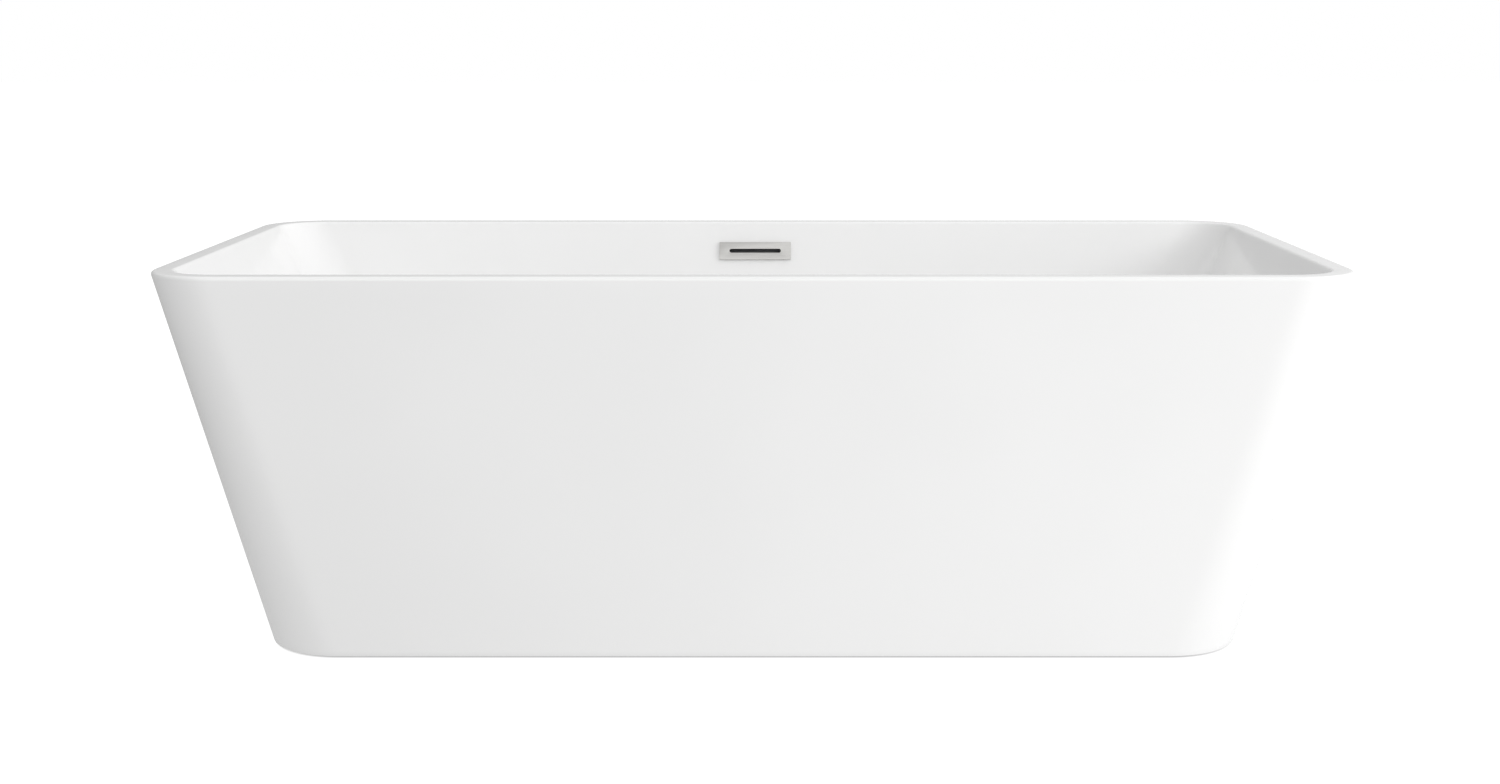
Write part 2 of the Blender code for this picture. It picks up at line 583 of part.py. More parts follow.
# ---- drain and stopper --------------------------------------------------------------------
def drain(chrome, brass, rubber, plastic):
    """The flanged drain body, clamped through the basin's floor by a ring nut."""
    add_piece("drain_flange", turned([
        (DRAIN_BORE, DRAIN_BODY_BOTTOM), (DRAIN_BODY, DRAIN_BODY_BOTTOM),
        (DRAIN_BODY, FLANGE_BOTTOM), (DRAIN_FLANGE, FLANGE_BOTTOM),
        (DRAIN_FLANGE, FLANGE_TOP - EDGE_BEVEL), (DRAIN_FLANGE - EDGE_BEVEL, FLANGE_TOP),
        (DRAIN_BORE + EDGE_BEVEL, FLANGE_TOP), (DRAIN_BORE, FLANGE_TOP - EDGE_BEVEL)]), chrome)
    seal_low = DRAIN_LEVEL + GAP
    add_piece("drain_flange_seal", ring(DRAIN_FLANGE - FLANGE_SEAL_INSET, DRAIN_BODY + GAP,
                                        seal_low, seal_low + FLANGE_SEAL_HEIGHT), rubber)
    gasket_high = FLOOR_UNDERSIDE - GAP
    gasket_low = gasket_high - GASKET_HEIGHT
    add_piece("drain_lower_gasket", ring(LOCKRING_RADIUS, DRAIN_BODY + GAP, gasket_low,
                                         gasket_high), rubber)
    lock_high = gasket_low - GAP
    lock_low, step = lock_high - LOCKRING_HEIGHT, lock_high - LOCKRING_FLANGE
    narrow = LOCKRING_RADIUS - LOCKRING_STEP
    lockring = [(DRAIN_BODY + GAP, lock_low), (narrow, lock_low), (narrow, step),
                (LOCKRING_RADIUS, step), (LOCKRING_RADIUS, lock_high),
                (DRAIN_BODY + GAP, lock_high)]
    add_piece("drain_locknut", turned(lockring), plastic)
    strainer_low = STRAINER_TOP - STRAINER_HEIGHT
    strainer = add_piece("drain_strainer", ring(DRAIN_BORE - GAP, CARTRIDGE_RADIUS + GAP,
                                                strainer_low, STRAINER_TOP), brass)
    between = (DRAIN_BORE + CARTRIDGE_RADIUS) / 2
    holes = []
    for number in range(STRAINER_HOLES):
        angle = 2 * math.pi * number / STRAINER_HOLES
        hole = rod(STRAINER_HOLE, strainer_low - CUT_PAST, STRAINER_TOP + CUT_PAST)
        holes.append(moved(hole, between * math.cos(angle), between * math.sin(angle)))
    combine(strainer, merged(holes), "DIFFERENCE")
    add_piece("stopper_cartridge", ring(CARTRIDGE_RADIUS, STEM_RADIUS + SLIDE_GAP,
                                        CARTRIDGE_BOTTOM, CARTRIDGE_TOP, SMALL_TURN_STEPS), brass)


def stopper(chrome, brass, rubber):
    """The push stopper, drawn open: cap, seal, stem and the retainer that stops its rise."""
    axis = (0, 0, CAP_BOTTOM)
    top = CAP_BOTTOM + CAP_HEIGHT
    cap = [(0, CAP_BOTTOM), (CAP_RADIUS - EDGE_BEVEL, CAP_BOTTOM),
           (CAP_RADIUS, CAP_BOTTOM + EDGE_BEVEL), (CAP_RADIUS, top - CAP_CROWN),
           (CAP_RADIUS - EDGE_BEVEL, top - CAP_CROWN / 2), (CAP_RADIUS * 0.7, top - CAP_CROWN / 6),
           (0, top)]
    add_piece("stopper_cap", turned(cap), chrome, origin=axis)
    retainer_high = CARTRIDGE_BOTTOM - GAP
    retainer_low = retainer_high - RETAINER_HEIGHT
    add_piece("stopper_stem", rod(STEM_RADIUS, retainer_low - STEM_TAIL, CAP_BOTTOM - GAP), brass,
              origin=axis)
    seal_high = CAP_BOTTOM - GAP
    add_piece("stopper_seal", ring(STOPPER_SEAL_RADIUS, STEM_RADIUS + GAP,
                                   seal_high - STOPPER_SEAL_HEIGHT, seal_high), rubber,
              origin=axis)
    add_piece("stopper_retainer", ring(RETAINER_RADIUS, STEM_RADIUS + GAP, retainer_low,
                                       retainer_high, SMALL_TURN_STEPS), brass, origin=axis)


# ---- waste and overflow -------------------------------------------------------------------
def lying(z=PORT_HEIGHT):
    """Turns a body along Z into one along +Y at the port's height."""
    return Matrix.Translation((0, 0, z)) @ Matrix.Rotation(-math.pi / 2, 4, "X")


def waste(plastic):
    """The tee under the drain, its outlet pipe and the two nuts that hold pipes in it."""
    tee = add_piece("drain_tee", rod(TEE_RADIUS, TEE_BOTTOM, TEE_TOP, TURN_STEPS), plastic)
    combine(tee, rod(PORT_RADIUS, PORT_START, PORT_REACH, TURN_STEPS), "UNION", turn=lying())
    shoulder = DRAIN_BODY_BOTTOM - GAP
    upper_bore = rod(DRAIN_BODY + GAP, shoulder, TEE_TOP + CUT_PAST, TURN_STEPS)
    combine(tee, upper_bore, "DIFFERENCE")
    lower_bore = rod(TAIL_RADIUS + GAP, TEE_BOTTOM - CUT_PAST, shoulder + CUT_PAST, TURN_STEPS)
    combine(tee, lower_bore, "DIFFERENCE")
    port_bore = rod(PIPE_RADIUS + GAP, PORT_START, PORT_REACH + CUT_PAST, PIPE_STEPS)
    combine(tee, port_bore, "DIFFERENCE", turn=lying())
    add_piece("outlet_tailpiece", ring(TAIL_RADIUS, TAIL_RADIUS - TAIL_WALL, TAIL_BOTTOM,
                                       TEE_BOTTOM + TAIL_INSERT), plastic)
    nut_high = TEE_BOTTOM - GAP
    add_piece("outlet_nut", ring(TAIL_NUT_RADIUS, TAIL_RADIUS + GAP, nut_high - TAIL_NUT_HEIGHT,
                                 nut_high), plastic)
    nut_start = PORT_REACH + GAP
    add_piece("overflow_port_nut", ring(PORT_NUT_RADIUS, PIPE_RADIUS + GAP, nut_start,
                                        nut_start + PORT_NUT_LENGTH, PIPE_STEPS), plastic,
              turn=lying())


def overflow_place():
    """Where the overflow sits: on the back wall's inner face, Y outwards, Z up the wall."""
    top, low = WIDTH / 2 - RIM_WIDTH, FLOOR_WIDTH / 2
    z = HEIGHT - OVERFLOW_DROP
    y = basin_wall(z, top, low, 0.0)
    return Matrix.Translation((0, y, z)) @ Matrix.Rotation(-basin_lean(top, low), 4, "X")


def panel(size_x, size_z, y_near, y_far, radius, steps=3):
    """A flat piece parallel to the wall, between two distances along the wall's normal."""
    bm = rounded_box(size_x, size_z, -y_far, -y_near, radius, steps)
    bmesh.ops.transform(bm, matrix=FACE_OUT, verts=bm.verts)
    return bm


def overflow_plate(chrome):
    """The slotted cover plate, with two spring legs that hold it in the basin's wall."""
    place = overflow_place()
    front = -GAP - PLATE_THICKNESS
    plate = add_piece("overflow_plate", panel(PLATE_LENGTH, PLATE_HEIGHT, front, -GAP,
                                              PLATE_CORNER), chrome, turn=place)
    edge = plate.modifiers.new("Bevel", "BEVEL")
    edge.width = PLATE_BEVEL
    edge.segments = 2
    edge.limit_method = "ANGLE"
    edge.angle_limit = math.radians(60)
    leg_place = (SLOT_LENGTH + OVERFLOW_HOLE_LENGTH) / 4
    for side in (-1, 1):
        leg = panel(CLIP_THICKNESS, CLIP_HEIGHT, -GAP - PLATE_THICKNESS / 2, CLIP_LENGTH,
                    CLIP_CORNER, steps=1)
        combine(plate, moved(leg, side * leg_place), "UNION", turn=place)
    slot = panel(SLOT_LENGTH, SLOT_HEIGHT, front - CUT_PAST, GAP, round_end(SLOT_HEIGHT), steps=5)
    combine(plate, slot, "DIFFERENCE", turn=place)


def cavity_faces(z):
    """The basin's and the skirt's faces towards the space between them, at the back."""
    basin_face = basin_wall(z, WIDTH / 2 - RIM_WIDTH, FLOOR_WIDTH / 2, BASIN_WALL)
    lean = outer_lean(WIDTH / 2, BASE_WIDTH / 2)
    skirt_face = outer_wall(z, WIDTH / 2, BASE_WIDTH / 2) - SKIRT_WALL / math.cos(lean)
    return basin_face, skirt_face


def cavity_middle(z):
    return sum(cavity_faces(z)) / 2


def height_with_room(width):
    """The height below which the cavity at the back is at least this wide."""
    at_floor, at_rim = (skirt - wall for wall, skirt in map(cavity_faces, (0.0, HEIGHT)))
    return HEIGHT * (at_floor - width) / (at_floor - at_rim)


def housing_near():
    """Distance from the wall's inner face to the housing's open side."""
    return BASIN_WALL + 2 * GAP + OVERFLOW_SEAL_THICKNESS


def spigot_ends():
    """The spigot's axis: from inside the housing down to where the cavity has room."""
    depth = housing_near() + SPIGOT_SETBACK + PIPE_RADIUS
    start = overflow_place() @ Vector((0, depth, HOUSING_WALL - HOUSING_HEIGHT / 4))
    sleeve = PIPE_RADIUS + GAP + COUPLING_WALL + COUPLING_CLEARANCE
    low = min(start.z - SPIGOT_LENGTH, height_with_room(2 * sleeve) - COUPLING_LENGTH / 2)
    return start, Vector((0, cavity_middle(low), low))


def along(start, end):
    """Turns a body along Z, from z = 0, into one from start towards end."""
    turn = (end - start).to_track_quat("Z", "Y").to_matrix().to_4x4()
    return Matrix.Translation(start) @ turn


def overflow_housing(plastic, rubber):
    """The slim box behind the plate, its seal against the basin, and its spigot."""
    place = overflow_place()
    near = housing_near()
    seal = add_piece("overflow_seal", panel(HOUSING_LENGTH, HOUSING_HEIGHT, BASIN_WALL + GAP,
                                            near - GAP, HOUSING_CORNER), rubber, turn=place)
    width, height = HOUSING_LENGTH - 2 * HOUSING_WALL, HOUSING_HEIGHT - 2 * HOUSING_WALL
    corner = HOUSING_CORNER - HOUSING_WALL
    window = panel(width, height, BASIN_WALL - CUT_PAST, near + CUT_PAST, corner)
    combine(seal, window, "DIFFERENCE", turn=place)
    housing = add_piece("overflow_housing", panel(HOUSING_LENGTH, HOUSING_HEIGHT, near,
                                                  near + HOUSING_DEPTH, HOUSING_CORNER), plastic,
                        turn=place)
    start, end = spigot_ends()
    length = (end - start).length
    spigot = rod(PIPE_RADIUS, HOUSING_WALL, length, PIPE_STEPS)
    combine(housing, spigot, "UNION", turn=along(start, end))
    hollow = panel(width, height, near - CUT_PAST, near + HOUSING_DEPTH - HOUSING_WALL, corner)
    combine(housing, hollow, "DIFFERENCE", turn=place)
    bore = rod(PIPE_RADIUS - PIPE_WALL, HOUSING_WALL, length + CUT_PAST, PIPE_STEPS)
    combine(housing, bore, "DIFFERENCE", turn=along(start, end))


def filleted(points, radius, steps):
    """A path through points whose inner corners are arcs of the given radius."""
    path = [points[0]]
    for before, corner, after in zip(points, points[1:], points[2:]):
        back = (before - corner).normalized()
        on = (after - corner).normalized()
        half = back.angle(on) / 2
        middle = corner + (back + on).normalized() * (radius / math.sin(half))
        first = corner + back * (radius / math.tan(half)) - middle
        last = corner + on * (radius / math.tan(half)) - middle
        for step in range(steps + 1):
            path.append(middle + first.slerp(last, step / steps) * radius)
    return path + [points[-1]]


def overflow_pipe(plastic):
    """The pipe down the cavity at the back, bent under the frame into the tee's port."""
    start, end = spigot_ends()
    axis = (end - start).normalized()
    top = end + axis * GAP
    knee = end + axis * COUPLING_LENGTH
    port_side = Vector((0, cavity_middle(PORT_HEIGHT), PORT_HEIGHT))
    mouth = Vector((0, PORT_REACH - PIPE_INSERT, PORT_HEIGHT))
    route = filleted([top, knee, port_side, mouth], PIPE_BEND, 7)
    curve = bpy.data.curves.new("overflow_pipe", "CURVE")
    curve.dimensions = "3D"
    curve.bevel_depth = PIPE_RADIUS
    curve.bevel_resolution = 4
    spline = curve.splines.new("POLY")
    spline.points.add(len(route) - 1)
    for point, place in zip(spline.points, route):
        point.co = (*place, 1.0)
    curve.materials.append(plastic)
    pipe = bpy.data.objects.new("overflow_pipe", curve)
    bpy.context.collection.objects.link(pipe)
    wall = pipe.modifiers.new("Wall", "SOLIDIFY")
    wall.thickness = PIPE_WALL
    wall.offset = -1.0
    middle = end - axis * COUPLING_LENGTH / 2
    sleeve = ring(PIPE_RADIUS + GAP + COUPLING_WALL, PIPE_RADIUS + GAP, 0, COUPLING_LENGTH,
                  PIPE_STEPS)
    add_piece("overflow_coupling", sleeve, plastic, turn=along(middle, end))


def build():
    clear_scene()
    white = finish("white_acrylic", (0.90, 0.90, 0.89), 0.16)
    resin = finish("bonding_resin", (0.82, 0.78, 0.66), 0.6)
    wood = finish("plywood", (0.62, 0.46, 0.28), 0.75)
    steel = finish("galvanised_steel", (0.58, 0.60, 0.61), 0.45, 1.0)
    zinc = finish("zinc_plated_steel", (0.70, 0.71, 0.72), 0.3, 1.0)
    rubber = finish("black_rubber", (0.03, 0.03, 0.03), 0.8)
    chrome = finish("satin_chrome", (0.66, 0.65, 0.63), 0.28, 1.0)
    brass = finish("brass", (0.78, 0.58, 0.28), 0.32, 1.0)
    plastic = finish("waste_plastic", (0.20, 0.20, 0.21), 0.5)
    inner_shell(white)
    outer_shell(white)
    rim_bond(resin)
    base_board(wood)
    frame_rails(steel)
    frame_screws(zinc)
    frame_crossbars(steel)
    skirt_brackets(steel)
    feet(steel, zinc, rubber)
    drain(chrome, brass, rubber, plastic)
    stopper(chrome, brass, rubber)
    waste(plastic)
    overflow_plate(chrome)
    overflow_housing(plastic, rubber)
    overflow_pipe(plastic)


build()
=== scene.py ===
"""Looks of the freestanding bathtub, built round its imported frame. Metres, +Z up."""

import math

import bmesh
import bpy
from mathutils import Matrix, Vector


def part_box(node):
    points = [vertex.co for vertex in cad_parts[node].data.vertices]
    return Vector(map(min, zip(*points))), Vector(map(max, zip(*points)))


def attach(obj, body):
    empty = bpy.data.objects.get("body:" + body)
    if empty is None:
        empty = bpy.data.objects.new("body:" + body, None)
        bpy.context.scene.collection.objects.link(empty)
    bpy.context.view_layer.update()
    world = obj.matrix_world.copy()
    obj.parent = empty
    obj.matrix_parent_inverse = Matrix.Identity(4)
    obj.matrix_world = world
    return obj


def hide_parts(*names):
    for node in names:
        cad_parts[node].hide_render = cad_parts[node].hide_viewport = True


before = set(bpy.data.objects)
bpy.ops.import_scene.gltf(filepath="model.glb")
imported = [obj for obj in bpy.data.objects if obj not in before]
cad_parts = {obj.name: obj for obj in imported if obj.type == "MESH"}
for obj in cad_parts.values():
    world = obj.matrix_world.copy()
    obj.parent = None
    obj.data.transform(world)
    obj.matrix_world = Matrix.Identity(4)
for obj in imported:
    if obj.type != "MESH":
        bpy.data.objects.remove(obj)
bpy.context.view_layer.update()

# ---- the tub's own sizes ------------------------------------------------------------------
HALF_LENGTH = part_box("inner_shell")[1][0]
HALF_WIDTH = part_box("inner_shell")[1][1]
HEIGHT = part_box("inner_shell")[1][2]
HALF_BASE_LENGTH = 0.736
HALF_BASE_WIDTH = 0.280
CORNER_RIM = 0.100
CORNER_BASE = 0.118
RIM_WIDTH = 0.030
RIM_OUTER_ROUND = 0.005
RIM_INNER_ROUND = 0.006
RIM_OUTER_ARC = (90, -11)         # degrees round the edge, 90 where it is level
RIM_INNER_ARC = (17, 90)
RIM_THICKNESS = 0.006
LIP_BOTTOM = HEIGHT - 0.024
LIP_THICKNESS = 0.005
SKIRT_WALL = 0.005
SKIRT_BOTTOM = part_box("outer_shell")[0][2]
SKIRT_EDGE_ROUND = 0.0015
HALF_FLOOR_LENGTH = 0.590
HALF_FLOOR_WIDTH = 0.234
FLOOR_HEIGHT = 0.136
FLOOR_FILLET = 0.045
FLOOR_FILLET_ARC = (90, 30)
FLOOR_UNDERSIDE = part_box("inner_shell")[0][2]
DRAIN_LEVEL = 0.130
DRAIN_FLAT = 0.050
DRAIN_FLAT_CORNER = 0.040
DRAIN_HOLE = 0.026
BASIN_WALL = 0.005
CORNER_OPENING = 0.070
CORNER_FLOOR = 0.105
CORNER_WIDEST = 0.85             # the floor's corners between drain and walls, as a share of
CORNER_SWELL = 0.7               # its half width there, and how soon they swell to that
OVERFLOW_DROP = 0.051
OVERFLOW_HOLE_LENGTH = 0.102
OVERFLOW_HOLE_HEIGHT = 0.020
OVERFLOW_HOLE_CORNER = 0.0095
OPENINGS = ((HALF_LENGTH - RIM_WIDTH, HALF_FLOOR_LENGTH),    # half sizes at the rim and at the
            (HALF_WIDTH - RIM_WIDTH, HALF_FLOOR_WIDTH))      # floor, along X and along Y

# ---- the overflow's cover plate -----------------------------------------------------------
PLATE_LENGTH = 0.125
PLATE_HEIGHT = 0.031
PLATE_RAISE = 0.001
PLATE_FRONT = 0.0043
PLATE_CORNER = 0.0012
PLATE_EDGE_ROUND = 0.0006
SLOT_LENGTH = 0.090
SLOT_HEIGHT = 0.007
SLOT_END_ROUND = SLOT_HEIGHT * 0.49
SLOT_SILL = 0.5                  # how steeply the slot's lower side rises inwards
LEG_THICKNESS = 0.002
LEG_HEIGHT = 0.012
LEG_REACH = 0.010
LEG_ROOT = 0.0015
LEG_CORNER = 0.0004
LEG_OUT = 0.048

# ---- the drain and its stopper ------------------------------------------------------------
BORE_RADIUS = 0.020
BODY_RADIUS = 0.024
BODY_FOOT = 0.002                # plain length below the thread
BODY_NECK = 0.006                # plain length above it
BODY_TURNS = 14
BODY_THREAD_RISE = 0.0009
BODY_THREAD_DEPTH = 0.0006
FLANGE_EDGE_ROUND = 0.0012
FLANGE_UNDERCUT = 0.0005
FLANGE_DISH = ((0.027, 0.0002), (0.0225, 0.0012), (0.0205, 0.0022), (BORE_RADIUS, 0.0034))
STOPPER_EDGE_ROUND = 0.0012
STOPPER_FACE_INSET = 0.003
STOPPER_FACE_DISH = 0.0002
STOPPER_CROWN = 0.0022
STOPPER_CROWN_SHARES = (0.94, 0.86, 0.75, 0.6, 0.45, 0.3, 0.15)

# ---- the feet -----------------------------------------------------------------------------
GROOVE_DEPTH = 0.0012
GROOVE_RADII = (0.011, 0.0155, 0.020)
GROOVE_WIDTH = 0.0018
GROOVE_SLOPE = 0.0004
SOLE_RECESS = (0.006, 0.0065)    # the middle recess's radius at its top and at the sole
PAD_EDGE_ROUND = 0.0015
PAD_DRAFT = 0.0004
PAD_EDGE_TOP = 0.35              # shares of the pad's height
PAD_SHOULDER_TOP = 0.55
PAD_SHOULDER = 0.018
PAD_COLLAR = 0.0155
PAD_COLLAR_ROUND = 0.002
SOCKET_RADIUS = 0.0063
SOCKET_DEPTH = 0.009
STUD_PITCH = 0.00175
STUD_CREST = 0.006
STUD_ROOT = 0.0051
STUD_CREST_SPAN = (0.4, 0.55)    # where the crest starts and ends, as shares of the pitch
STUD_PLAIN = 0.0008              # plain length below the thread
STUD_UNTHREADED = 0.002          # what the thread leaves free at both ends together
STUD_CHAMFER = (0.0008, 0.0006)  # across and up
STUD_STEPS = 32
NUT_BORE = 0.0066
NUT_CHAMFER = 0.0007

# ---- fits ---------------------------------------------------------------------------------
GAP = 0.0003                     # between a metal face and what it is pressed against
CUT_PAST = 0.020                 # how far a cutter runs past the wall that it cuts
NUT_CUT_PAST = 0.010

# ---- fineness -----------------------------------------------------------------------------
CORNER_STEPS = 20
FLOOR_ROWS = 16
HOLD = 0.008                     # rows this near a round keep the flats' shading flat
HOLD_SHARE = 0.15                # the most of a short run that HOLD may take up
WALL_ROWS = 7
SHARP_ANGLE = 35
PLATE_SHARP_ANGLE = 15
SOFTEN_ANGLE = 40
TURN_STEPS = 96
SMALL_TURN_STEPS = 48

# ---- light --------------------------------------------------------------------------------
SURROUND = 0.62                  # how bright the room round the tub is at the horizon
SURROUND_TILT = (0.38, -0.04, 0.37)    # how much brighter it gets towards +X, +Y and +Z
LAMPS = (                        # name, place, aim, size and watts
    ("key", (4.2, -1.6, 2.2), (-0.2, 0.1, 0.4), (1.4, 1.4), 42),
    ("front_fill", (-0.3, -5.5, 1.7), (0, 0, 0.35), (4.0, 3.0), 42))
SHEET_HALF = 30
SHEET_FADE = 1.6                 # the floor's light changes between this far left and right
SHEET_LIGHT = (0.40, 0.98)       # its light on the things round it, at the left and the right
SHEET_SHADE = 0.25               # its brightness under the tub: a painted shadow, also in the light it throws up
SHEET_SHADE_EDGE = 0.012

# ---- camera -------------------------------------------------------------------------------
EYE = (0.018, -3.053, 0.922)
EYE_TIPPED_DOWN = 0.1852
LENS = 46.8
LENS_SHIFT = -0.0103


# ---- shader tools -------------------------------------------------------------------------
class Signal:
    """A value in a material. Arithmetic on it adds Math nodes."""

    def __init__(self, finish, socket):
        self.finish = finish
        self.socket = socket

    def _math(self, operation, first, second):
        return self.finish.node("ShaderNodeMath", {"operation": operation}, {0: first, 1: second})

    def __add__(self, other):
        return self._math("ADD", self, other)

    def __radd__(self, other):
        return self._math("ADD", other, self)

    def __sub__(self, other):
        return self._math("SUBTRACT", self, other)

    def __rsub__(self, other):
        return self._math("SUBTRACT", other, self)

    def __mul__(self, other):
        return self._math("MULTIPLY", self, other)

    def __rmul__(self, other):
        return self._math("MULTIPLY", other, self)


class Finish:
    """A procedural material on one Principled shader."""

    def __init__(self, name, **fixed):
        self.material = bpy.data.materials.new(name)
        self.material.use_nodes = True
        self.tree = self.material.node_tree
        self.shader = self.tree.nodes["Principled BSDF"]
        for socket, value in fixed.items():
            self.shader.inputs[socket.replace("_", " ")].default_value = value

    def node(self, kind, settings, sockets, output=0):
        """Add a node: its settings first, then the values or links of its sockets."""
        node = self.tree.nodes.new(kind)
        for name, value in settings.items():
            setattr(node, name, value)
        for key, value in sockets.items():
            self.feed(node.inputs[key], value)
        return Signal(self, node.outputs[output])

    def feed(self, socket, value):
        """Link a signal to a socket, or set a plain value on it."""
        if isinstance(value, Signal):
            self.tree.links.new(value.socket, socket)
        else:
            socket.default_value = value

    def surface(self, **varying):
        """Link what changes over the surface, and give back the material."""
        for socket, value in varying.items():
            self.feed(self.shader.inputs[socket.replace("_", " ")], value)
        return self.material

    def places(self, scale=(1, 1, 1), turn=(0, 0, 0)):
        """Places on the object, scaled and turned."""
        spot = self.node("ShaderNodeTexCoord", {}, {}, 3)
        return self.node("ShaderNodeMapping", {}, {"Vector": spot, "Scale": scale,
                                                   "Rotation": turn})

    def noise(self, vector, scale, detail=3.0, roughness=0.5):
        return self.node("ShaderNodeTexNoise", {}, {
            "Vector": vector, "Scale": scale, "Detail": detail, "Roughness": roughness})

    def blend(self, factor, first, second):
        """A colour between two colours."""
        mixed = self.node("ShaderNodeMix", {"data_type": "RGBA"}, {0: factor}, 2)
        node = mixed.socket.node
        self.feed(node.inputs[6], first if isinstance(first, Signal) else (*first, 1.0))
        self.feed(node.inputs[7], second if isinstance(second, Signal) else (*second, 1.0))
        return mixed

    def spread(self, value, low, high, to_low=0.0, to_high=1.0):
        """A value's range from low to high, mapped to another."""
        return self.node("ShaderNodeMapRange", {}, {
            0: value, 1: low, 2: high, 3: to_low, 4: to_high})

    def bump(self, height, strength, distance):
        return self.node("ShaderNodeBump", {}, {
            "Strength": strength, "Distance": distance, "Height": height})


# ---- materials ----------------------------------------------------------------------------
def sanitary_acrylic():
    """Cast white acrylic: deep gloss, with the faint waviness of a sheet drawn over a mould."""
    f = Finish("sanitary_acrylic", Coat_Weight=0.35, Coat_Roughness=0.06, IOR=1.49,
               Specular_IOR_Level=0.5)
    spot = f.places()
    drawn = f.noise(spot, 2.2, 2.0)
    peel = f.noise(spot, 46.0, 2.0)
    haze = f.noise(spot, 9.0, 4.0, 0.6)
    tint = f.blend(f.spread(drawn, 0.35, 0.65), (0.880, 0.880, 0.878), (0.900, 0.900, 0.898))
    wavy = f.bump(drawn * 0.8 + peel * 0.06, 0.18, 0.0015)
    return f.surface(Base_Color=tint, Roughness=f.spread(haze, 0.3, 0.7, 0.15, 0.23), Normal=wavy)


def glass_laminate():
    """Chopped glass mat in polyester resin, rolled on the hidden side of the shells."""
    f = Finish("glass_laminate", Specular_IOR_Level=0.4)
    strands = []
    for number in range(3):
        turned = f.places((60, 700, 60), (0.4 * number, 0.3, 1.05 * number))
        strands.append(f.noise(turned, 1.0, 2.0))
    mat = (strands[0] + strands[1] + strands[2]) * (1 / 3)
    pools = f.noise(f.places(), 7.0, 3.0)
    pale = f.blend(f.spread(mat, 0.42, 0.6), (0.56, 0.54, 0.45), (0.80, 0.79, 0.72))
    colour = f.blend(f.spread(pools, 0.4, 0.75, 0.0, 0.5), pale, (0.66, 0.62, 0.48))
    return f.surface(Base_Color=colour, Roughness=f.spread(pools, 0.3, 0.7, 0.55, 0.32),
                     Normal=f.bump(mat + pools * 0.5, 0.7, 0.0012))


def satin_plate():
    """Satin chrome, brushed along the tub's length."""
    f = Finish("satin_plate", Metallic=1.0)
    brushed = f.noise(f.places((14, 1400, 1400)), 1.0, 4.0, 0.6)
    cloud = f.noise(f.places(), 30.0, 2.0)
    colour = f.blend(f.spread(brushed, 0.35, 0.65), (0.50, 0.495, 0.48), (0.56, 0.555, 0.54))
    return f.surface(Base_Color=colour, Normal=f.bump(brushed, 0.12, 0.0002),
                     Roughness=f.spread(brushed + cloud * 0.3, 0.45, 0.85, 0.27, 0.38))


def mirror_chrome():
    """Bright chrome with faint turning marks and wipe marks."""
    f = Finish("mirror_chrome", Metallic=1.0)
    wiped = f.noise(f.places((30, 240, 60), (0, 0, 0.5)), 1.0, 3.0)
    cloud = f.noise(f.places(), 24.0, 3.0)
    colour = f.blend(f.spread(cloud, 0.3, 0.7), (0.76, 0.77, 0.78), (0.83, 0.84, 0.85))
    return f.surface(Base_Color=colour, Normal=f.bump(wiped, 0.03, 0.0002),
                     Roughness=f.spread(wiped, 0.35, 0.7, 0.06, 0.14))


def moulded_rubber():
    """Black rubber with a fine grain and a pale bloom in patches."""
    f = Finish("moulded_rubber", Specular_IOR_Level=0.35)
    grain = f.noise(f.places(), 900.0, 3.0)
    bloom = f.noise(f.places(), 60.0, 4.0)
    colour = f.blend(f.spread(bloom, 0.35, 0.7), (0.018, 0.018, 0.019), (0.050, 0.049, 0.047))
    return f.surface(Base_Color=colour, Roughness=f.spread(bloom, 0.3, 0.7, 0.62, 0.82),
                     Normal=f.bump(grain, 0.3, 0.0003))


def galvanised():
    """Galvanised steel: spangled zinc crystals with dull edges."""
    f = Finish("galvanised", Metallic=1.0)
    crystals = f.node("ShaderNodeTexVoronoi", {}, {"Vector": f.places(), "Scale": 85.0}, 1)
    tone = f.node("ShaderNodeRGBToBW", {}, {0: crystals})
    streak = f.noise(f.places((20, 20, 60)), 1.0, 4.0)
    colour = f.blend(tone * 0.7 + streak * 0.4, (0.43, 0.45, 0.46), (0.66, 0.68, 0.69))
    return f.surface(Base_Color=colour, Roughness=f.spread(tone + streak, 0.4, 1.4, 0.34, 0.56),
                     Normal=f.bump(tone, 0.15, 0.0002))


def zinc_plate():
    """Bright zinc on small steel parts, clouded between blue and yellow."""
    f = Finish("zinc_plate", Metallic=1.0)
    cloud = f.noise(f.places(), 90.0, 4.0)
    colour = f.blend(f.spread(cloud, 0.35, 0.65), (0.62, 0.65, 0.68), (0.76, 0.75, 0.70))
    return f.surface(Base_Color=colour, Roughness=f.spread(cloud, 0.3, 0.7, 0.22, 0.38),
                     Normal=f.bump(cloud, 0.08, 0.0002))


def plywood():
    """Plywood: veneers show at the edges, and long grain under a coat of resin on the faces."""
    f = Finish("plywood", Specular_IOR_Level=0.4)
    height = f.node("ShaderNodeSeparateXYZ", {}, {0: f.places()}, 2)
    layer = f.node("ShaderNodeMath", {"operation": "PINGPONG"}, {0: height, 1: 0.0025})
    grain = f.noise(f.places((4, 90, 500)), 1.0, 5.0, 0.6)
    flecks = f.noise(f.places((60, 900, 900)), 1.0, 2.0)
    face = f.blend(f.spread(grain, 0.35, 0.68), (0.66, 0.48, 0.28), (0.42, 0.27, 0.14))
    colour = f.blend(f.spread(layer, 0.0008, 0.0018, 0.0, 0.45), face, (0.34, 0.21, 0.11))
    return f.surface(Base_Color=colour, Roughness=f.spread(flecks, 0.3, 0.7, 0.5, 0.75),
                     Normal=f.bump(grain + flecks * 0.4, 0.35, 0.0006))


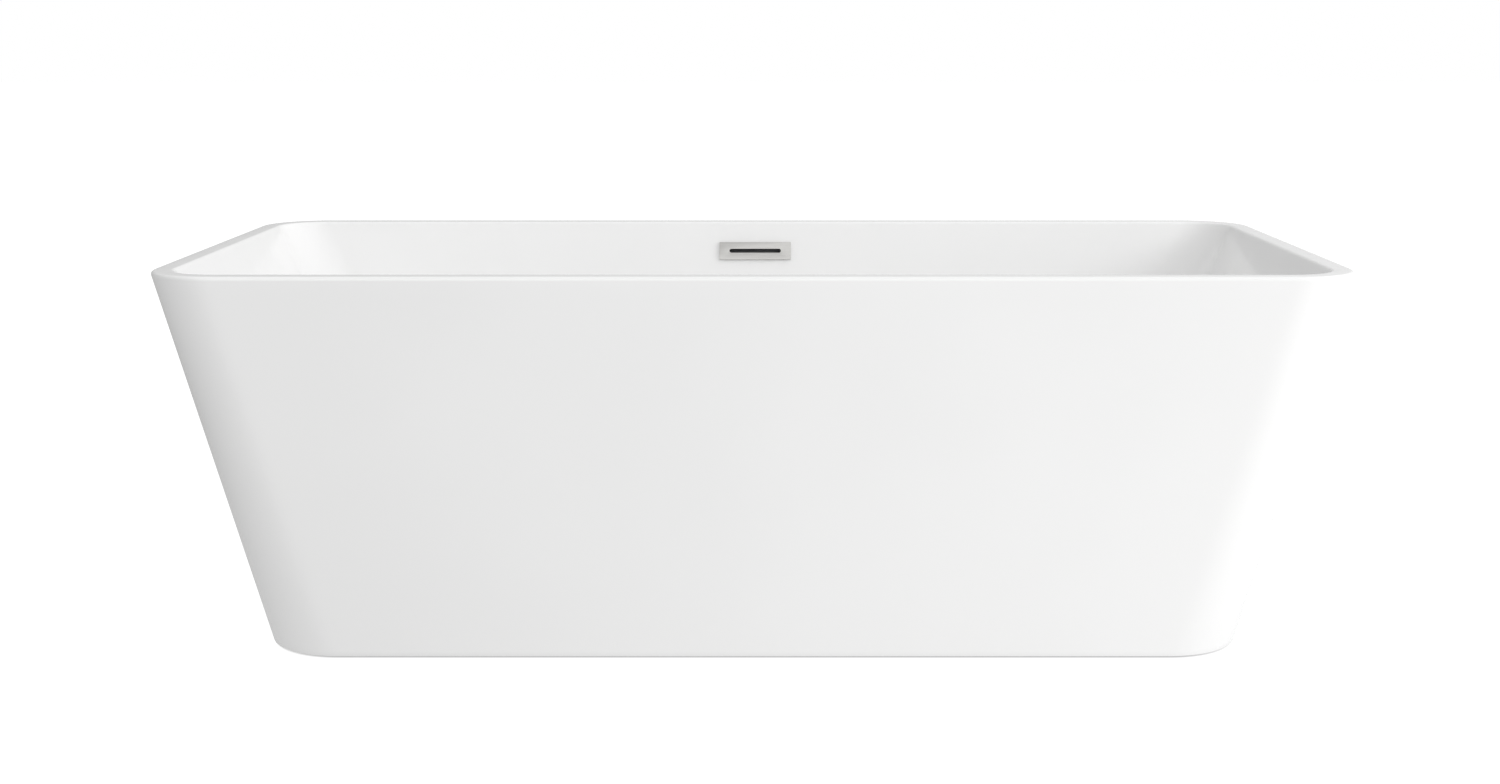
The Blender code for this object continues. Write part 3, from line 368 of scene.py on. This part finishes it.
def filled_resin():
    """Lumpy resin putty, as it bonds the two shells under the rim."""
    f = Finish("filled_resin", Specular_IOR_Level=0.4)
    lumps = f.noise(f.places(), 70.0, 4.0, 0.6)
    colour = f.blend(f.spread(lumps, 0.35, 0.65), (0.70, 0.66, 0.53), (0.84, 0.80, 0.69))
    return f.surface(Base_Color=colour, Roughness=f.spread(lumps, 0.3, 0.7, 0.45, 0.7),
                     Normal=f.bump(lumps, 0.6, 0.0015))


def turned_brass():
    """Brass with turning marks and some tarnish."""
    f = Finish("turned_brass", Metallic=1.0)
    marks = f.noise(f.places((80, 80, 3000)), 1.0, 2.0)
    tarnish = f.noise(f.places(), 120.0, 4.0)
    colour = f.blend(f.spread(tarnish, 0.4, 0.75), (0.80, 0.60, 0.30), (0.52, 0.36, 0.17))
    return f.surface(Base_Color=colour, Roughness=f.spread(tarnish, 0.3, 0.7, 0.22, 0.42),
                     Normal=f.bump(marks, 0.2, 0.0002))


def waste_plastic(name, dark, light):
    """Moulded waste fittings: fine spark texture and slight flow marks."""
    f = Finish(name, Specular_IOR_Level=0.45)
    spark = f.noise(f.places(), 1500.0, 2.0)
    flow = f.noise(f.places((12, 12, 40)), 1.0, 3.0)
    return f.surface(Base_Color=f.blend(f.spread(flow, 0.3, 0.7), dark, light),
                     Roughness=f.spread(flow, 0.3, 0.7, 0.38, 0.52),
                     Normal=f.bump(spark, 0.15, 0.0002))


def studio_floor():
    """Seen as white but for a painted shadow under the tub; it throws less light up, and least on
    the left.

    From below it isn't seen, so that the underside is.
    """
    f = Finish("studio_floor", Specular_IOR_Level=0.1, Emission_Strength=1.0)
    cloud = f.noise(f.places(), 0.6, 2.0)
    pale = f.blend(cloud, (0.08, 0.08, 0.08), (0.10, 0.10, 0.10))
    seen = f.node("ShaderNodeLightPath", {}, {})
    across = f.node("ShaderNodeSeparateXYZ", {}, {0: f.places()})
    left, right = SHEET_LIGHT
    thrown = f.blend(f.spread(across, -SHEET_FADE, SHEET_FADE), (left,) * 3, (right,) * 3)
    out = f.node("ShaderNodeVectorMath", {"operation": "ABSOLUTE"}, {0: f.places()})
    out = f.node("ShaderNodeVectorMath", {"operation": "SUBTRACT"}, {
        0: out, 1: (HALF_BASE_LENGTH - CORNER_BASE, HALF_BASE_WIDTH - CORNER_BASE, 0)})
    out = f.node("ShaderNodeVectorMath", {"operation": "MAXIMUM"}, {0: out, 1: (0, 0, 0)})
    apart = f.node("ShaderNodeVectorMath", {"operation": "LENGTH"}, {0: out}, 1)
    # painted shadow: under the tub's footprint the floor glows only SHEET_SHADE, both as seen and
    # as thrown, rising to full just outside it
    clear = f.spread(apart, CORNER_BASE - SHEET_SHADE_EDGE, CORNER_BASE)
    colour = f.blend(clear, (SHEET_SHADE,) * 3, f.blend(seen, thrown, (1.0, 1.0, 1.0)))
    above = 1.0 - f.node("ShaderNodeNewGeometry", {}, {}, 6)
    return f.surface(Base_Color=pale, Roughness=f.spread(cloud, 0.3, 0.7, 0.75, 0.85),
                     Emission_Color=colour, Alpha=above)


# ---- modelling tools ----------------------------------------------------------------------
def closed_mesh(name, bm, place=None):
    """Turn bm into a mesh, with doubles merged and faces outwards, at its place."""
    bmesh.ops.remove_doubles(bm, verts=bm.verts, dist=1e-6)
    bmesh.ops.recalc_face_normals(bm, faces=bm.faces)
    if place:
        bmesh.ops.transform(bm, matrix=place, verts=bm.verts)
    mesh = bpy.data.meshes.new(name)
    bm.to_mesh(mesh)
    bm.free()
    return mesh


def placed(name, contents):
    """Put a mesh, a lamp or a camera in the scene."""
    thing = bpy.data.objects.new(name, contents)
    bpy.context.scene.collection.objects.link(thing)
    return thing


def shade(mesh, sharp):
    """Shade a mesh smooth, but for edges that turn by more than sharp degrees."""
    mesh.shade_smooth()
    mesh.set_sharp_from_angle(angle=math.radians(sharp))


def piece_of(name, bm, looks, body, stands_for, place=None):
    """Turn bm into a finished piece that rides on a body and stands for CAD nodes."""
    mesh = closed_mesh(name, bm, place)
    for look in looks:
        mesh.materials.append(look)
    shade(mesh, SHARP_ANGLE)
    piece = placed(name, mesh)
    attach(piece, body)
    if stands_for:
        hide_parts(*stands_for)
    return piece


def carve(piece, bm, place=None):
    """Cut a shape out of a piece for good."""
    cutter = placed("cutter", closed_mesh("cutter", bm, place))
    cut = piece.modifiers.new("cut", "BOOLEAN")
    cut.object = cutter
    cut.operation = "DIFFERENCE"
    cut.solver = "EXACT"
    bake(piece)
    bpy.data.objects.remove(cutter, do_unlink=True)


def bake(piece, sharp=SHARP_ANGLE):
    """Make a piece's modifiers part of its mesh, and shade its edges past an angle sharp."""
    shaped = piece.evaluated_get(bpy.context.evaluated_depsgraph_get())
    mesh = bpy.data.meshes.new_from_object(shaped)
    piece.modifiers.clear()
    piece.data = mesh
    shade(mesh, sharp)


def soften(piece, width, segments=3, sharp=SHARP_ANGLE):
    """Round the edges of a piece that turn by more than SOFTEN_ANGLE."""
    edge = piece.modifiers.new("soften", "BEVEL")
    edge.width = width
    edge.segments = segments
    edge.limit_method = "ANGLE"
    edge.angle_limit = math.radians(SOFTEN_ANGLE)
    bake(piece, sharp)


def turned(outline, steps=TURN_STEPS):
    """Spin (radius, z) points round Z: a ring, or a solid where the first point is on Z."""
    bm = bmesh.new()
    verts = [bm.verts.new((radius, 0, z)) for radius, z in outline]
    ends = verts[1:] if outline[0][0] == 0 else verts[1:] + verts[:1]
    edges = [bm.edges.new(pair) for pair in zip(verts, ends)]
    bmesh.ops.spin(bm, geom=verts + edges, cent=(0, 0, 0), axis=(0, 0, 1), dvec=(0, 0, 0),
                   angle=2 * math.pi, steps=steps, use_merge=True, use_duplicate=False)
    return bm


def rod(radius, low, high, steps=SMALL_TURN_STEPS):
    """An upright round bar on Z."""
    return turned([(0, low), (radius, low), (radius, high), (0, high)], steps)


def slab(size_x, size_y, low, high, corner, segments=6):
    """An upright block with round upright edges."""
    bm = bmesh.new()
    bmesh.ops.create_cube(bm, size=1.0)
    bmesh.ops.scale(bm, vec=(size_x, size_y, high - low), verts=bm.verts)
    bmesh.ops.translate(bm, vec=(0, 0, (low + high) / 2), verts=bm.verts)
    upright = [e for e in bm.edges if abs(e.verts[0].co.z - e.verts[1].co.z) > 1e-6]
    bmesh.ops.bevel(bm, geom=upright, offset=corner, segments=segments, profile=0.5,
                    affect="EDGES", material=-1)
    return bm


# ---- sections of the tub ------------------------------------------------------------------
def mix(low, high, share):
    """The value that lies a share of the way from low to high."""
    return low + (high - low) * share


def outer_lean(top_half, base_half):
    """The outer wall's lean from upright, where it meets the rim's round."""
    run = top_half - RIM_OUTER_ROUND - base_half
    rise = HEIGHT - RIM_OUTER_ROUND
    return math.atan2(run, rise) + math.asin(RIM_OUTER_ROUND / math.hypot(run, rise))


def outer_wall(z, top_half, base_half):
    """Half the outside at height z on its leaning wall."""
    return base_half + z * math.tan(outer_lean(top_half, base_half))


def outer_half(z, top_half, base_half):
    """Half the outside at height z: the leaning wall, then the rim's round."""
    lean = outer_lean(top_half, base_half)
    middle = HEIGHT - RIM_OUTER_ROUND
    if z < middle - RIM_OUTER_ROUND * math.sin(lean):
        return outer_wall(z, top_half, base_half)
    reach = RIM_OUTER_ROUND ** 2 - (z - middle) ** 2
    return top_half - RIM_OUTER_ROUND + math.sqrt(max(reach, 0.0))


def outside(z, inset=0.0):
    """The tub's outside at height z: half length, half width, corner radius and height."""
    half_x = outer_half(z, HALF_LENGTH, HALF_BASE_LENGTH)
    half_y = outer_half(z, HALF_WIDTH, HALF_BASE_WIDTH)
    drawn_in = outer_wall(z, HALF_WIDTH, HALF_BASE_WIDTH) - half_y
    corner = mix(CORNER_BASE, CORNER_RIM, z / HEIGHT) - drawn_in
    return half_x - inset, half_y - inset, corner - inset, z


def basin_lean(top_half, floor_half):
    """The basin wall's lean from upright."""
    return math.atan2(top_half - floor_half, HEIGHT - FLOOR_HEIGHT)


def basin_wall(z, top_half, floor_half, grow):
    """Half the basin at height z on its straight wall, moved out by grow."""
    lean = basin_lean(top_half, floor_half)
    return floor_half + (z - FLOOR_HEIGHT) * math.tan(lean) + grow / math.cos(lean)


def basin_half(z, top_half, floor_half, grow, floor):
    """Half the basin at height z: the fillet at its floor, its wall, then the rim's round."""
    lean = basin_lean(top_half, floor_half)
    fillet = FLOOR_FILLET + grow
    if z < floor + fillet * (1 - math.sin(lean)):
        middle = basin_wall(floor + fillet, top_half, floor_half, grow) - fillet / math.cos(lean)
        return middle + math.sqrt(max(fillet ** 2 - (floor + fillet - z) ** 2, 0.0))
    edge = HEIGHT - RIM_INNER_ROUND
    if grow == 0 and z > edge + RIM_INNER_ROUND * math.sin(lean):
        middle = basin_wall(edge, top_half, floor_half, grow) + RIM_INNER_ROUND / math.cos(lean)
        return middle - math.sqrt(max(RIM_INNER_ROUND ** 2 - (z - edge) ** 2, 0.0))
    return basin_wall(z, top_half, floor_half, grow)


def basin(z, grow=0.0, floor=FLOOR_HEIGHT):
    """The basin at height z; grow and floor give the shell's hidden side."""
    half_x, half_y = (basin_half(z, top, low, grow, floor) for top, low in OPENINGS)
    drawn_in = basin_wall(z, *OPENINGS[1], grow) - half_y
    share = (z - FLOOR_HEIGHT) / (HEIGHT - FLOOR_HEIGHT)
    corner = mix(CORNER_FLOOR, CORNER_OPENING, share) + grow - drawn_in
    return half_x, half_y, corner, z


def section_places(half_x, half_y, radius, z):
    """Points round a rectangle with round corners, with extra ones beside each corner."""
    places = []
    for quarter, (side_x, side_y) in enumerate(((1, 1), (-1, 1), (-1, -1), (1, -1))):
        middle = Vector((side_x * (half_x - radius), side_y * (half_y - radius), z))
        for step in range(CORNER_STEPS + 1):
            angle = math.pi / 2 * (quarter + step / CORNER_STEPS)
            places.append(middle + radius * Vector((math.cos(angle), math.sin(angle), 0)))
        run = 2 * ((half_x if quarter % 2 == 0 else half_y) - radius)
        along = Vector((-math.sin(angle), math.cos(angle), 0))
        last = places[-1]
        hold = min(HOLD, run * HOLD_SHARE)
        for far in (hold, run * 0.25, run * 0.5, run * 0.75, run - hold):
            places.append(last + along * far)
    return places


def loop_edges(bm, verts):
    """The edges that join verts in a ring."""
    pairs = [(verts[i - 1], verts[i]) for i in range(len(verts))]
    return [bm.edges.get(pair) or bm.edges.new(pair) for pair in pairs]


def loft(sections, looks, closed):
    """Extrude a loop of edges through sections; looks gives each stretch its material."""
    bm = bmesh.new()
    verts = [bm.verts.new(place) for place in section_places(*sections[0])]
    ends = [loop_edges(bm, verts)]
    following = sections[1:] + sections[:1] if closed else sections[1:]
    for section, look in zip(following, looks):
        grown = bmesh.ops.extrude_edge_only(bm, edges=loop_edges(bm, verts))["geom"]
        fresh = set(grown)
        for face in grown:
            if isinstance(face, bmesh.types.BMFace):
                face.material_index = look
        verts = [next(edge.other_vert(vert) for edge in vert.link_edges
                      if edge.other_vert(vert) in fresh) for vert in verts]
        for vert, place in zip(verts, section_places(*section)):
            vert.co = place
    ends.append(loop_edges(bm, verts))
    if not closed:
        for edges, look in zip(ends, (looks[0], looks[-1])):
            for face in bmesh.ops.contextual_create(bm, geom=edges, mat_nr=look)["faces"]:
                face.material_index = look
    return bm


def rows(low, high, count):
    """Heights up a flat wall, crowded beside its two ends."""
    inner = [mix(low, high, step / count) for step in range(1, count)]
    return [low + HOLD] + inner + [high - HOLD]


def arc_heights(base, radius, first, last, steps, sign=1):
    """Heights round an edge of the given radius, between two angles in degrees."""
    angles = [mix(first, last, step / steps) for step in range(steps + 1)]
    return [base + sign * radius * (1 - math.sin(math.radians(a))) for a in angles]


# ---- the tub ------------------------------------------------------------------------------
GLOSSY, ROUGH = 0, 1             # a shell's acrylic side and its laminate side
UPRIGHT = Matrix.Rotation(math.pi / 2, 4, "X")       # stands a slab's Y up along Z


def wall_place():
    """On the back wall's face at the overflow: Y out of the basin, Z up the wall."""
    z = HEIGHT - OVERFLOW_DROP
    lean = basin_lean(*OPENINGS[1])
    return Matrix.Translation((0, basin_wall(z, *OPENINGS[1], 0.0), z)) @ \
        Matrix.Rotation(-lean, 4, "X")


def floor_sections(foot):
    """Sections from the level area round the drain out to the foot of the walls, easing up."""
    middle = (DRAIN_FLAT, DRAIN_FLAT, DRAIN_FLAT_CORNER, DRAIN_LEVEL)
    sections = []
    for row in range(FLOOR_ROWS + 1):
        share = row / FLOOR_ROWS
        half_x, half_y, corner, _ = (mix(a, b, share) for a, b in zip(middle, foot))
        widest = CORNER_WIDEST * min(half_x, half_y)
        corner += (widest - corner) * math.sin(math.pi * share) ** CORNER_SWELL
        rise = share * share * (3 - 2 * share)
        sections.append((half_x, half_y, corner, mix(DRAIN_LEVEL, foot[3], rise)))
    return sections


def basin_shell(white, laminate):
    """The basin and its rim in one sheet: glossy inside, laminate on the hidden side."""
    foot = arc_heights(FLOOR_HEIGHT, FLOOR_FILLET, *FLOOR_FILLET_ARC, 12)
    edge = arc_heights(HEIGHT, RIM_INNER_ROUND, *RIM_INNER_ARC, 10, -1)
    inside = foot + rows(foot[-1], edge[0], WALL_ROWS) + edge
    outer = arc_heights(HEIGHT, RIM_OUTER_ROUND, *RIM_OUTER_ARC, 10, -1)
    shelf = HEIGHT - RIM_THICKNESS
    hidden_fillet = FLOOR_FILLET + BASIN_WALL
    hidden_foot = arc_heights(FLOOR_UNDERSIDE, hidden_fillet, *FLOOR_FILLET_ARC, 8)
    sections = floor_sections(basin(inside[0]))
    sections += [basin(z) for z in inside[1:]] + [outside(z) for z in outer]
    sections += [outside(LIP_BOTTOM), outside(LIP_BOTTOM, LIP_THICKNESS)]
    shown = len(sections) - 1
    sections += [outside(shelf, LIP_THICKNESS), basin(shelf, BASIN_WALL, FLOOR_UNDERSIDE)]
    sections += [basin(z, BASIN_WALL, FLOOR_UNDERSIDE) for z in reversed(hidden_foot)]
    looks = [GLOSSY] * shown + [ROUGH] * (len(sections) - 1 - shown)
    shell = piece_of("basin_shell", loft(sections, looks, False), (white, laminate), "root",
                     ["inner_shell"])
    low, high = FLOOR_UNDERSIDE - CUT_PAST, DRAIN_LEVEL + CUT_PAST
    carve(shell, rod(DRAIN_HOLE, low, high, TURN_STEPS))
    hole = slab(OVERFLOW_HOLE_LENGTH, OVERFLOW_HOLE_HEIGHT, -CUT_PAST, CUT_PAST,
                OVERFLOW_HOLE_CORNER)
    carve(shell, hole, wall_place() @ UPRIGHT)


def skirt_shell(white, laminate):
    """The four leaning outer walls, flush with the rim's lip, with a small round at the foot."""
    low, part = SKIRT_BOTTOM, SKIRT_EDGE_ROUND * 0.3
    round_low = [low, low + part, low + SKIRT_EDGE_ROUND]
    drawn = [SKIRT_EDGE_ROUND, part, 0.0]
    outer = [outside(z, inset) for z, inset in zip(round_low, drawn)]
    outer += [outside(z) for z in rows(round_low[-1], LIP_BOTTOM, WALL_ROWS)]
    outer += [outside(LIP_BOTTOM)]
    inner = [outside(z, SKIRT_WALL) for z in (LIP_BOTTOM, LIP_BOTTOM - HOLD, low + HOLD, low)]
    looks = [GLOSSY] * (len(outer) - 1) + [ROUGH] * len(inner) + [GLOSSY]
    piece_of("skirt_shell", loft(outer + inner, looks, True), (white, laminate), "root",
             ["outer_shell"])


def overflow_cover(satin):
    """The slotted cover plate with its spring legs, edges eased."""
    bm = slab(PLATE_LENGTH, PLATE_HEIGHT, GAP, PLATE_FRONT, PLATE_CORNER)
    slot = slab(SLOT_LENGTH, SLOT_HEIGHT, 0.0, CUT_PAST, SLOT_END_ROUND, 10)
    for vert in slot.verts:      # the lower side slopes, so that water runs in over it
        if vert.co.y < 0:
            down = -vert.co.y / (SLOT_HEIGHT / 2)
            vert.co.y += down * (PLATE_FRONT - vert.co.z) * SLOT_SILL
    for shape in (bm, slot):
        bmesh.ops.translate(shape, vec=(0, PLATE_RAISE, 0), verts=shape.verts)
    plate = piece_of("overflow_cover", bm, (satin,), "root", ["overflow_plate"])
    carve(plate, slot)
    soften(plate, PLATE_EDGE_ROUND, sharp=PLATE_SHARP_ANGLE)
    plate.data.transform(wall_place() @ UPRIGHT)
    for side, name in ((-1, "left"), (1, "right")):
        leg = slab(LEG_THICKNESS, LEG_HEIGHT, -LEG_REACH, LEG_ROOT, LEG_CORNER, 3)
        bmesh.ops.translate(leg, vec=(side * LEG_OUT, 0, 0), verts=leg.verts)
        piece_of(f"overflow_cover_leg_{name}", leg, (satin,), "root", [],
                 place=wall_place() @ UPRIGHT)


def arc_points(middle, radius, first, last, steps):
    """(radius, z) points round an arc, for a turned outline."""
    angles = [math.radians(mix(first, last, step / steps)) for step in range(steps + 1)]
    return [(middle[0] + radius * math.cos(a), middle[1] + radius * math.sin(a)) for a in angles]


def drain_rim(chrome):
    """The drain's flange, dished round its bore, and the threaded body below it."""
    low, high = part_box("drain_flange")
    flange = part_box("drain_flange_seal")[1][2] + GAP
    reach, top = high[0], high[2]
    outline = [(BORE_RADIUS, low[2]), (BODY_RADIUS, low[2])]
    for turn in range(BODY_TURNS):
        z = mix(low[2] + BODY_FOOT, flange - BODY_NECK, turn / (BODY_TURNS - 1))
        outline += [(BODY_RADIUS, z), (BODY_RADIUS - BODY_THREAD_DEPTH, z + BODY_THREAD_RISE)]
    outline += [(BODY_RADIUS, flange), (reach - FLANGE_UNDERCUT, flange)]
    middle = reach - FLANGE_EDGE_ROUND, flange + FLANGE_EDGE_ROUND
    outline += arc_points(middle, FLANGE_EDGE_ROUND, -60, 90, 8)
    outline += [(radius, top - depth) for radius, depth in FLANGE_DISH]
    piece_of("drain_rim", turned(outline), (chrome,), "root", ["drain_flange"])


def stopper_dome(chrome):
    """The stopper's low dome with a round edge."""
    low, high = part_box("stopper_cap")
    reach, bottom, top = high[0], low[2], high[2]
    edge, foot = reach - STOPPER_EDGE_ROUND, bottom + STOPPER_FACE_DISH
    outline = [(0, bottom), (reach - STOPPER_FACE_INSET, bottom), (edge, foot)]
    outline += arc_points((edge, foot + STOPPER_EDGE_ROUND), STOPPER_EDGE_ROUND, -60, 40, 6)
    outline += [(reach * share, top - STOPPER_CROWN * share ** 3)
                for share in STOPPER_CROWN_SHARES]
    piece_of("stopper_dome", turned(outline + [(0, top)]), (chrome,), "stopper",
             ["stopper_cap"])


def foot_pad(number, place, rubber):
    """A pad with ring grooves in its sole, a waist, and a socket for the stud."""
    low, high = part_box(f"foot_{number}_pad")
    reach, bottom, top = (high[0] - low[0]) / 2, low[2], high[2]
    outline = [(0, GROOVE_DEPTH), (SOLE_RECESS[0], GROOVE_DEPTH), (SOLE_RECESS[1], bottom)]
    for ring in GROOVE_RADII:
        far = ring + GROOVE_WIDTH
        outline += [(ring, bottom), (ring + GROOVE_SLOPE, GROOVE_DEPTH),
                    (far - GROOVE_SLOPE, GROOVE_DEPTH), (far, bottom)]
    outline += arc_points((reach - PAD_EDGE_ROUND, PAD_EDGE_ROUND), PAD_EDGE_ROUND, -90, 10, 5)
    outline += [(reach - PAD_DRAFT, top * PAD_EDGE_TOP), (PAD_SHOULDER, top * PAD_SHOULDER_TOP)]
    middle = PAD_COLLAR - PAD_COLLAR_ROUND, top - PAD_COLLAR_ROUND
    outline += arc_points(middle, PAD_COLLAR_ROUND, 20, 90, 5)
    outline += [(SOCKET_RADIUS, top), (SOCKET_RADIUS, top - SOCKET_DEPTH),
                (0, top - SOCKET_DEPTH)]
    piece_of(f"pad_{number}", turned(outline), (rubber,), f"foot_{number}",
             [f"foot_{number}_pad"], place=place)


def foot_stud(number, place, zinc):
    """A threaded stud, chamfered at its top."""
    low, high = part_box(f"foot_{number}_stud")
    bottom, top = low[2], high[2]
    outline = [(0, bottom), (STUD_ROOT, bottom)]
    for turn in range(int((top - bottom - STUD_UNTHREADED) / STUD_PITCH)):
        z = bottom + STUD_PLAIN + turn * STUD_PITCH
        outline.append((STUD_ROOT, z))
        outline += [(STUD_CREST, z + STUD_PITCH * share) for share in STUD_CREST_SPAN]
    across, up = STUD_CHAMFER
    outline += [(STUD_ROOT, top - up), (STUD_ROOT - across, top), (0, top)]
    piece_of(f"stud_{number}", turned(outline, STUD_STEPS), (zinc,), f"foot_{number}_screw",
             [f"foot_{number}_stud"], place=place)


def foot_nut(number, name, place, look):
    """A hexagon nut with a clear bore and eased edges."""
    low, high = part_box(f"foot_{number}_{name}")
    across, bottom, top = (high[0] - low[0]) / 2, low[2], high[2]
    bm = bmesh.new()
    bmesh.ops.create_cone(bm, cap_ends=True, segments=6, radius1=across, radius2=across,
                          depth=top - bottom)
    bmesh.ops.translate(bm, vec=(0, 0, (bottom + top) / 2), verts=bm.verts)
    nut = piece_of(f"{name}_{number}", bm, (look,), "root", [f"foot_{number}_{name}"],
                   place=place)
    carve(nut, rod(NUT_BORE, bottom - NUT_CUT_PAST, top + NUT_CUT_PAST), place)
    soften(nut, NUT_CHAMFER, 2)


def feet(zinc, steel, rubber):
    """Each foot: a ribbed pad, a threaded stud and two chamfered nuts."""
    for number in range(1, 5):
        low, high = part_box(f"foot_{number}_pad")
        place = Matrix.Translation(((low[0] + high[0]) / 2, (low[1] + high[1]) / 2, 0))
        foot_pad(number, place, rubber)
        foot_stud(number, place, zinc)
        foot_nut(number, "weld_nut", place, steel)
        foot_nut(number, "locknut", place, zinc)


def floor_sheet(look):
    """The studio's floor, under the feet."""
    bm = bmesh.new()
    bmesh.ops.create_grid(bm, x_segments=8, y_segments=8, size=SHEET_HALF)
    mesh = bpy.data.meshes.new("studio_floor")
    bm.to_mesh(mesh)
    bm.free()
    mesh.materials.append(look)
    sheet = placed("studio_floor", mesh)


def dress_nodes(looks):
    """Give the CAD nodes that stay their materials."""
    for node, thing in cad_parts.items():
        for start, look in looks.items():
            if node.startswith(start):
                thing.data.materials.clear()
                thing.data.materials.append(look)


def camera():
    """A view from the front, tipped down a little."""
    lens = bpy.data.cameras.new("view")
    lens.sensor_width = 36.0
    lens.lens = LENS
    lens.shift_x = LENS_SHIFT
    lens.clip_end = 100
    eye = placed("view", lens)
    eye.location = EYE
    eye.rotation_euler = (math.radians(90) - EYE_TIPPED_DOWN, 0, 0)
    bpy.context.scene.camera = eye


def lamp(name, place, aim, size, watts):
    """A soft rectangular lamp, aimed at a point."""
    light = bpy.data.lights.new(name, "AREA")
    light.shape = "RECTANGLE"
    light.size, light.size_y = size
    light.energy = watts
    thing = placed(name, light)
    thing.location = place
    thing.rotation_euler = (Vector(aim) - Vector(place)).to_track_quat("-Z", "Y").to_euler()


def lighting():
    """A white surround, brighter on the right and above, a key lamp and a front fill.

    The camera itself sees the surround as plain white.
    """
    world = bpy.data.worlds.new("studio")
    bpy.context.scene.world = world
    world.use_nodes = True
    nodes, links = world.node_tree.nodes, world.node_tree.links
    around = nodes["Background"]
    seen = nodes.new("ShaderNodeBackground")
    for shade in (around, seen):
        shade.inputs[0].default_value = (1, 1, 1, 1)
    facing = nodes.new("ShaderNodeTexCoord")
    tilt = nodes.new("ShaderNodeVectorMath")
    tilt.operation = "DOT_PRODUCT"
    tilt.inputs[1].default_value = SURROUND_TILT
    level = nodes.new("ShaderNodeMath")
    level.inputs[1].default_value = SURROUND
    at_least = nodes.new("ShaderNodeMath")
    at_least.operation = "MAXIMUM"
    at_least.inputs[1].default_value = 0.0
    links.new(facing.outputs["Generated"], tilt.inputs[0])
    links.new(tilt.outputs["Value"], level.inputs[0])
    links.new(level.outputs[0], at_least.inputs[0])
    links.new(at_least.outputs[0], around.inputs[1])
    path = nodes.new("ShaderNodeLightPath")
    either = nodes.new("ShaderNodeMixShader")
    links.new(path.outputs["Is Camera Ray"], either.inputs[0])
    links.new(around.outputs[0], either.inputs[1])
    links.new(seen.outputs[0], either.inputs[2])
    links.new(either.outputs[0], nodes["World Output"].inputs[0])
    for each in LAMPS:
        lamp(*each)
    bpy.context.scene.view_settings.view_transform = "Standard"
    bpy.context.scene.view_settings.look = "None"


white = sanitary_acrylic()
laminate = glass_laminate()
satin = satin_plate()
chrome = mirror_chrome()
rubber = moulded_rubber()
steel = galvanised()
zinc = zinc_plate()
brass = turned_brass()
grey_plastic = waste_plastic("grey_waste_plastic", (0.15, 0.15, 0.16), (0.22, 0.22, 0.23))

basin_shell(white, laminate)
skirt_shell(white, laminate)
overflow_cover(satin)
drain_rim(chrome)
stopper_dome(chrome)
feet(zinc, steel, rubber)
dress_nodes({
    "rim_bond": filled_resin(), "base_board": plywood(), "frame_rail": steel,
    "frame_crossbar": steel, "skirt_bracket": steel, "frame_screw": zinc,
    "drain_flange_seal": rubber, "drain_lower_gasket": rubber, "stopper_seal": rubber,
    "overflow_seal": rubber, "drain_strainer": brass, "stopper_cartridge": brass,
    "stopper_stem": brass, "stopper_retainer": brass, "drain_tee": grey_plastic,
    "drain_locknut": grey_plastic, "outlet": grey_plastic, "overflow_housing": grey_plastic,
    "overflow_coupling": grey_plastic, "overflow_pipe": grey_plastic,
    "overflow_port_nut": grey_plastic})
floor_sheet(studio_floor())
camera()
lighting()
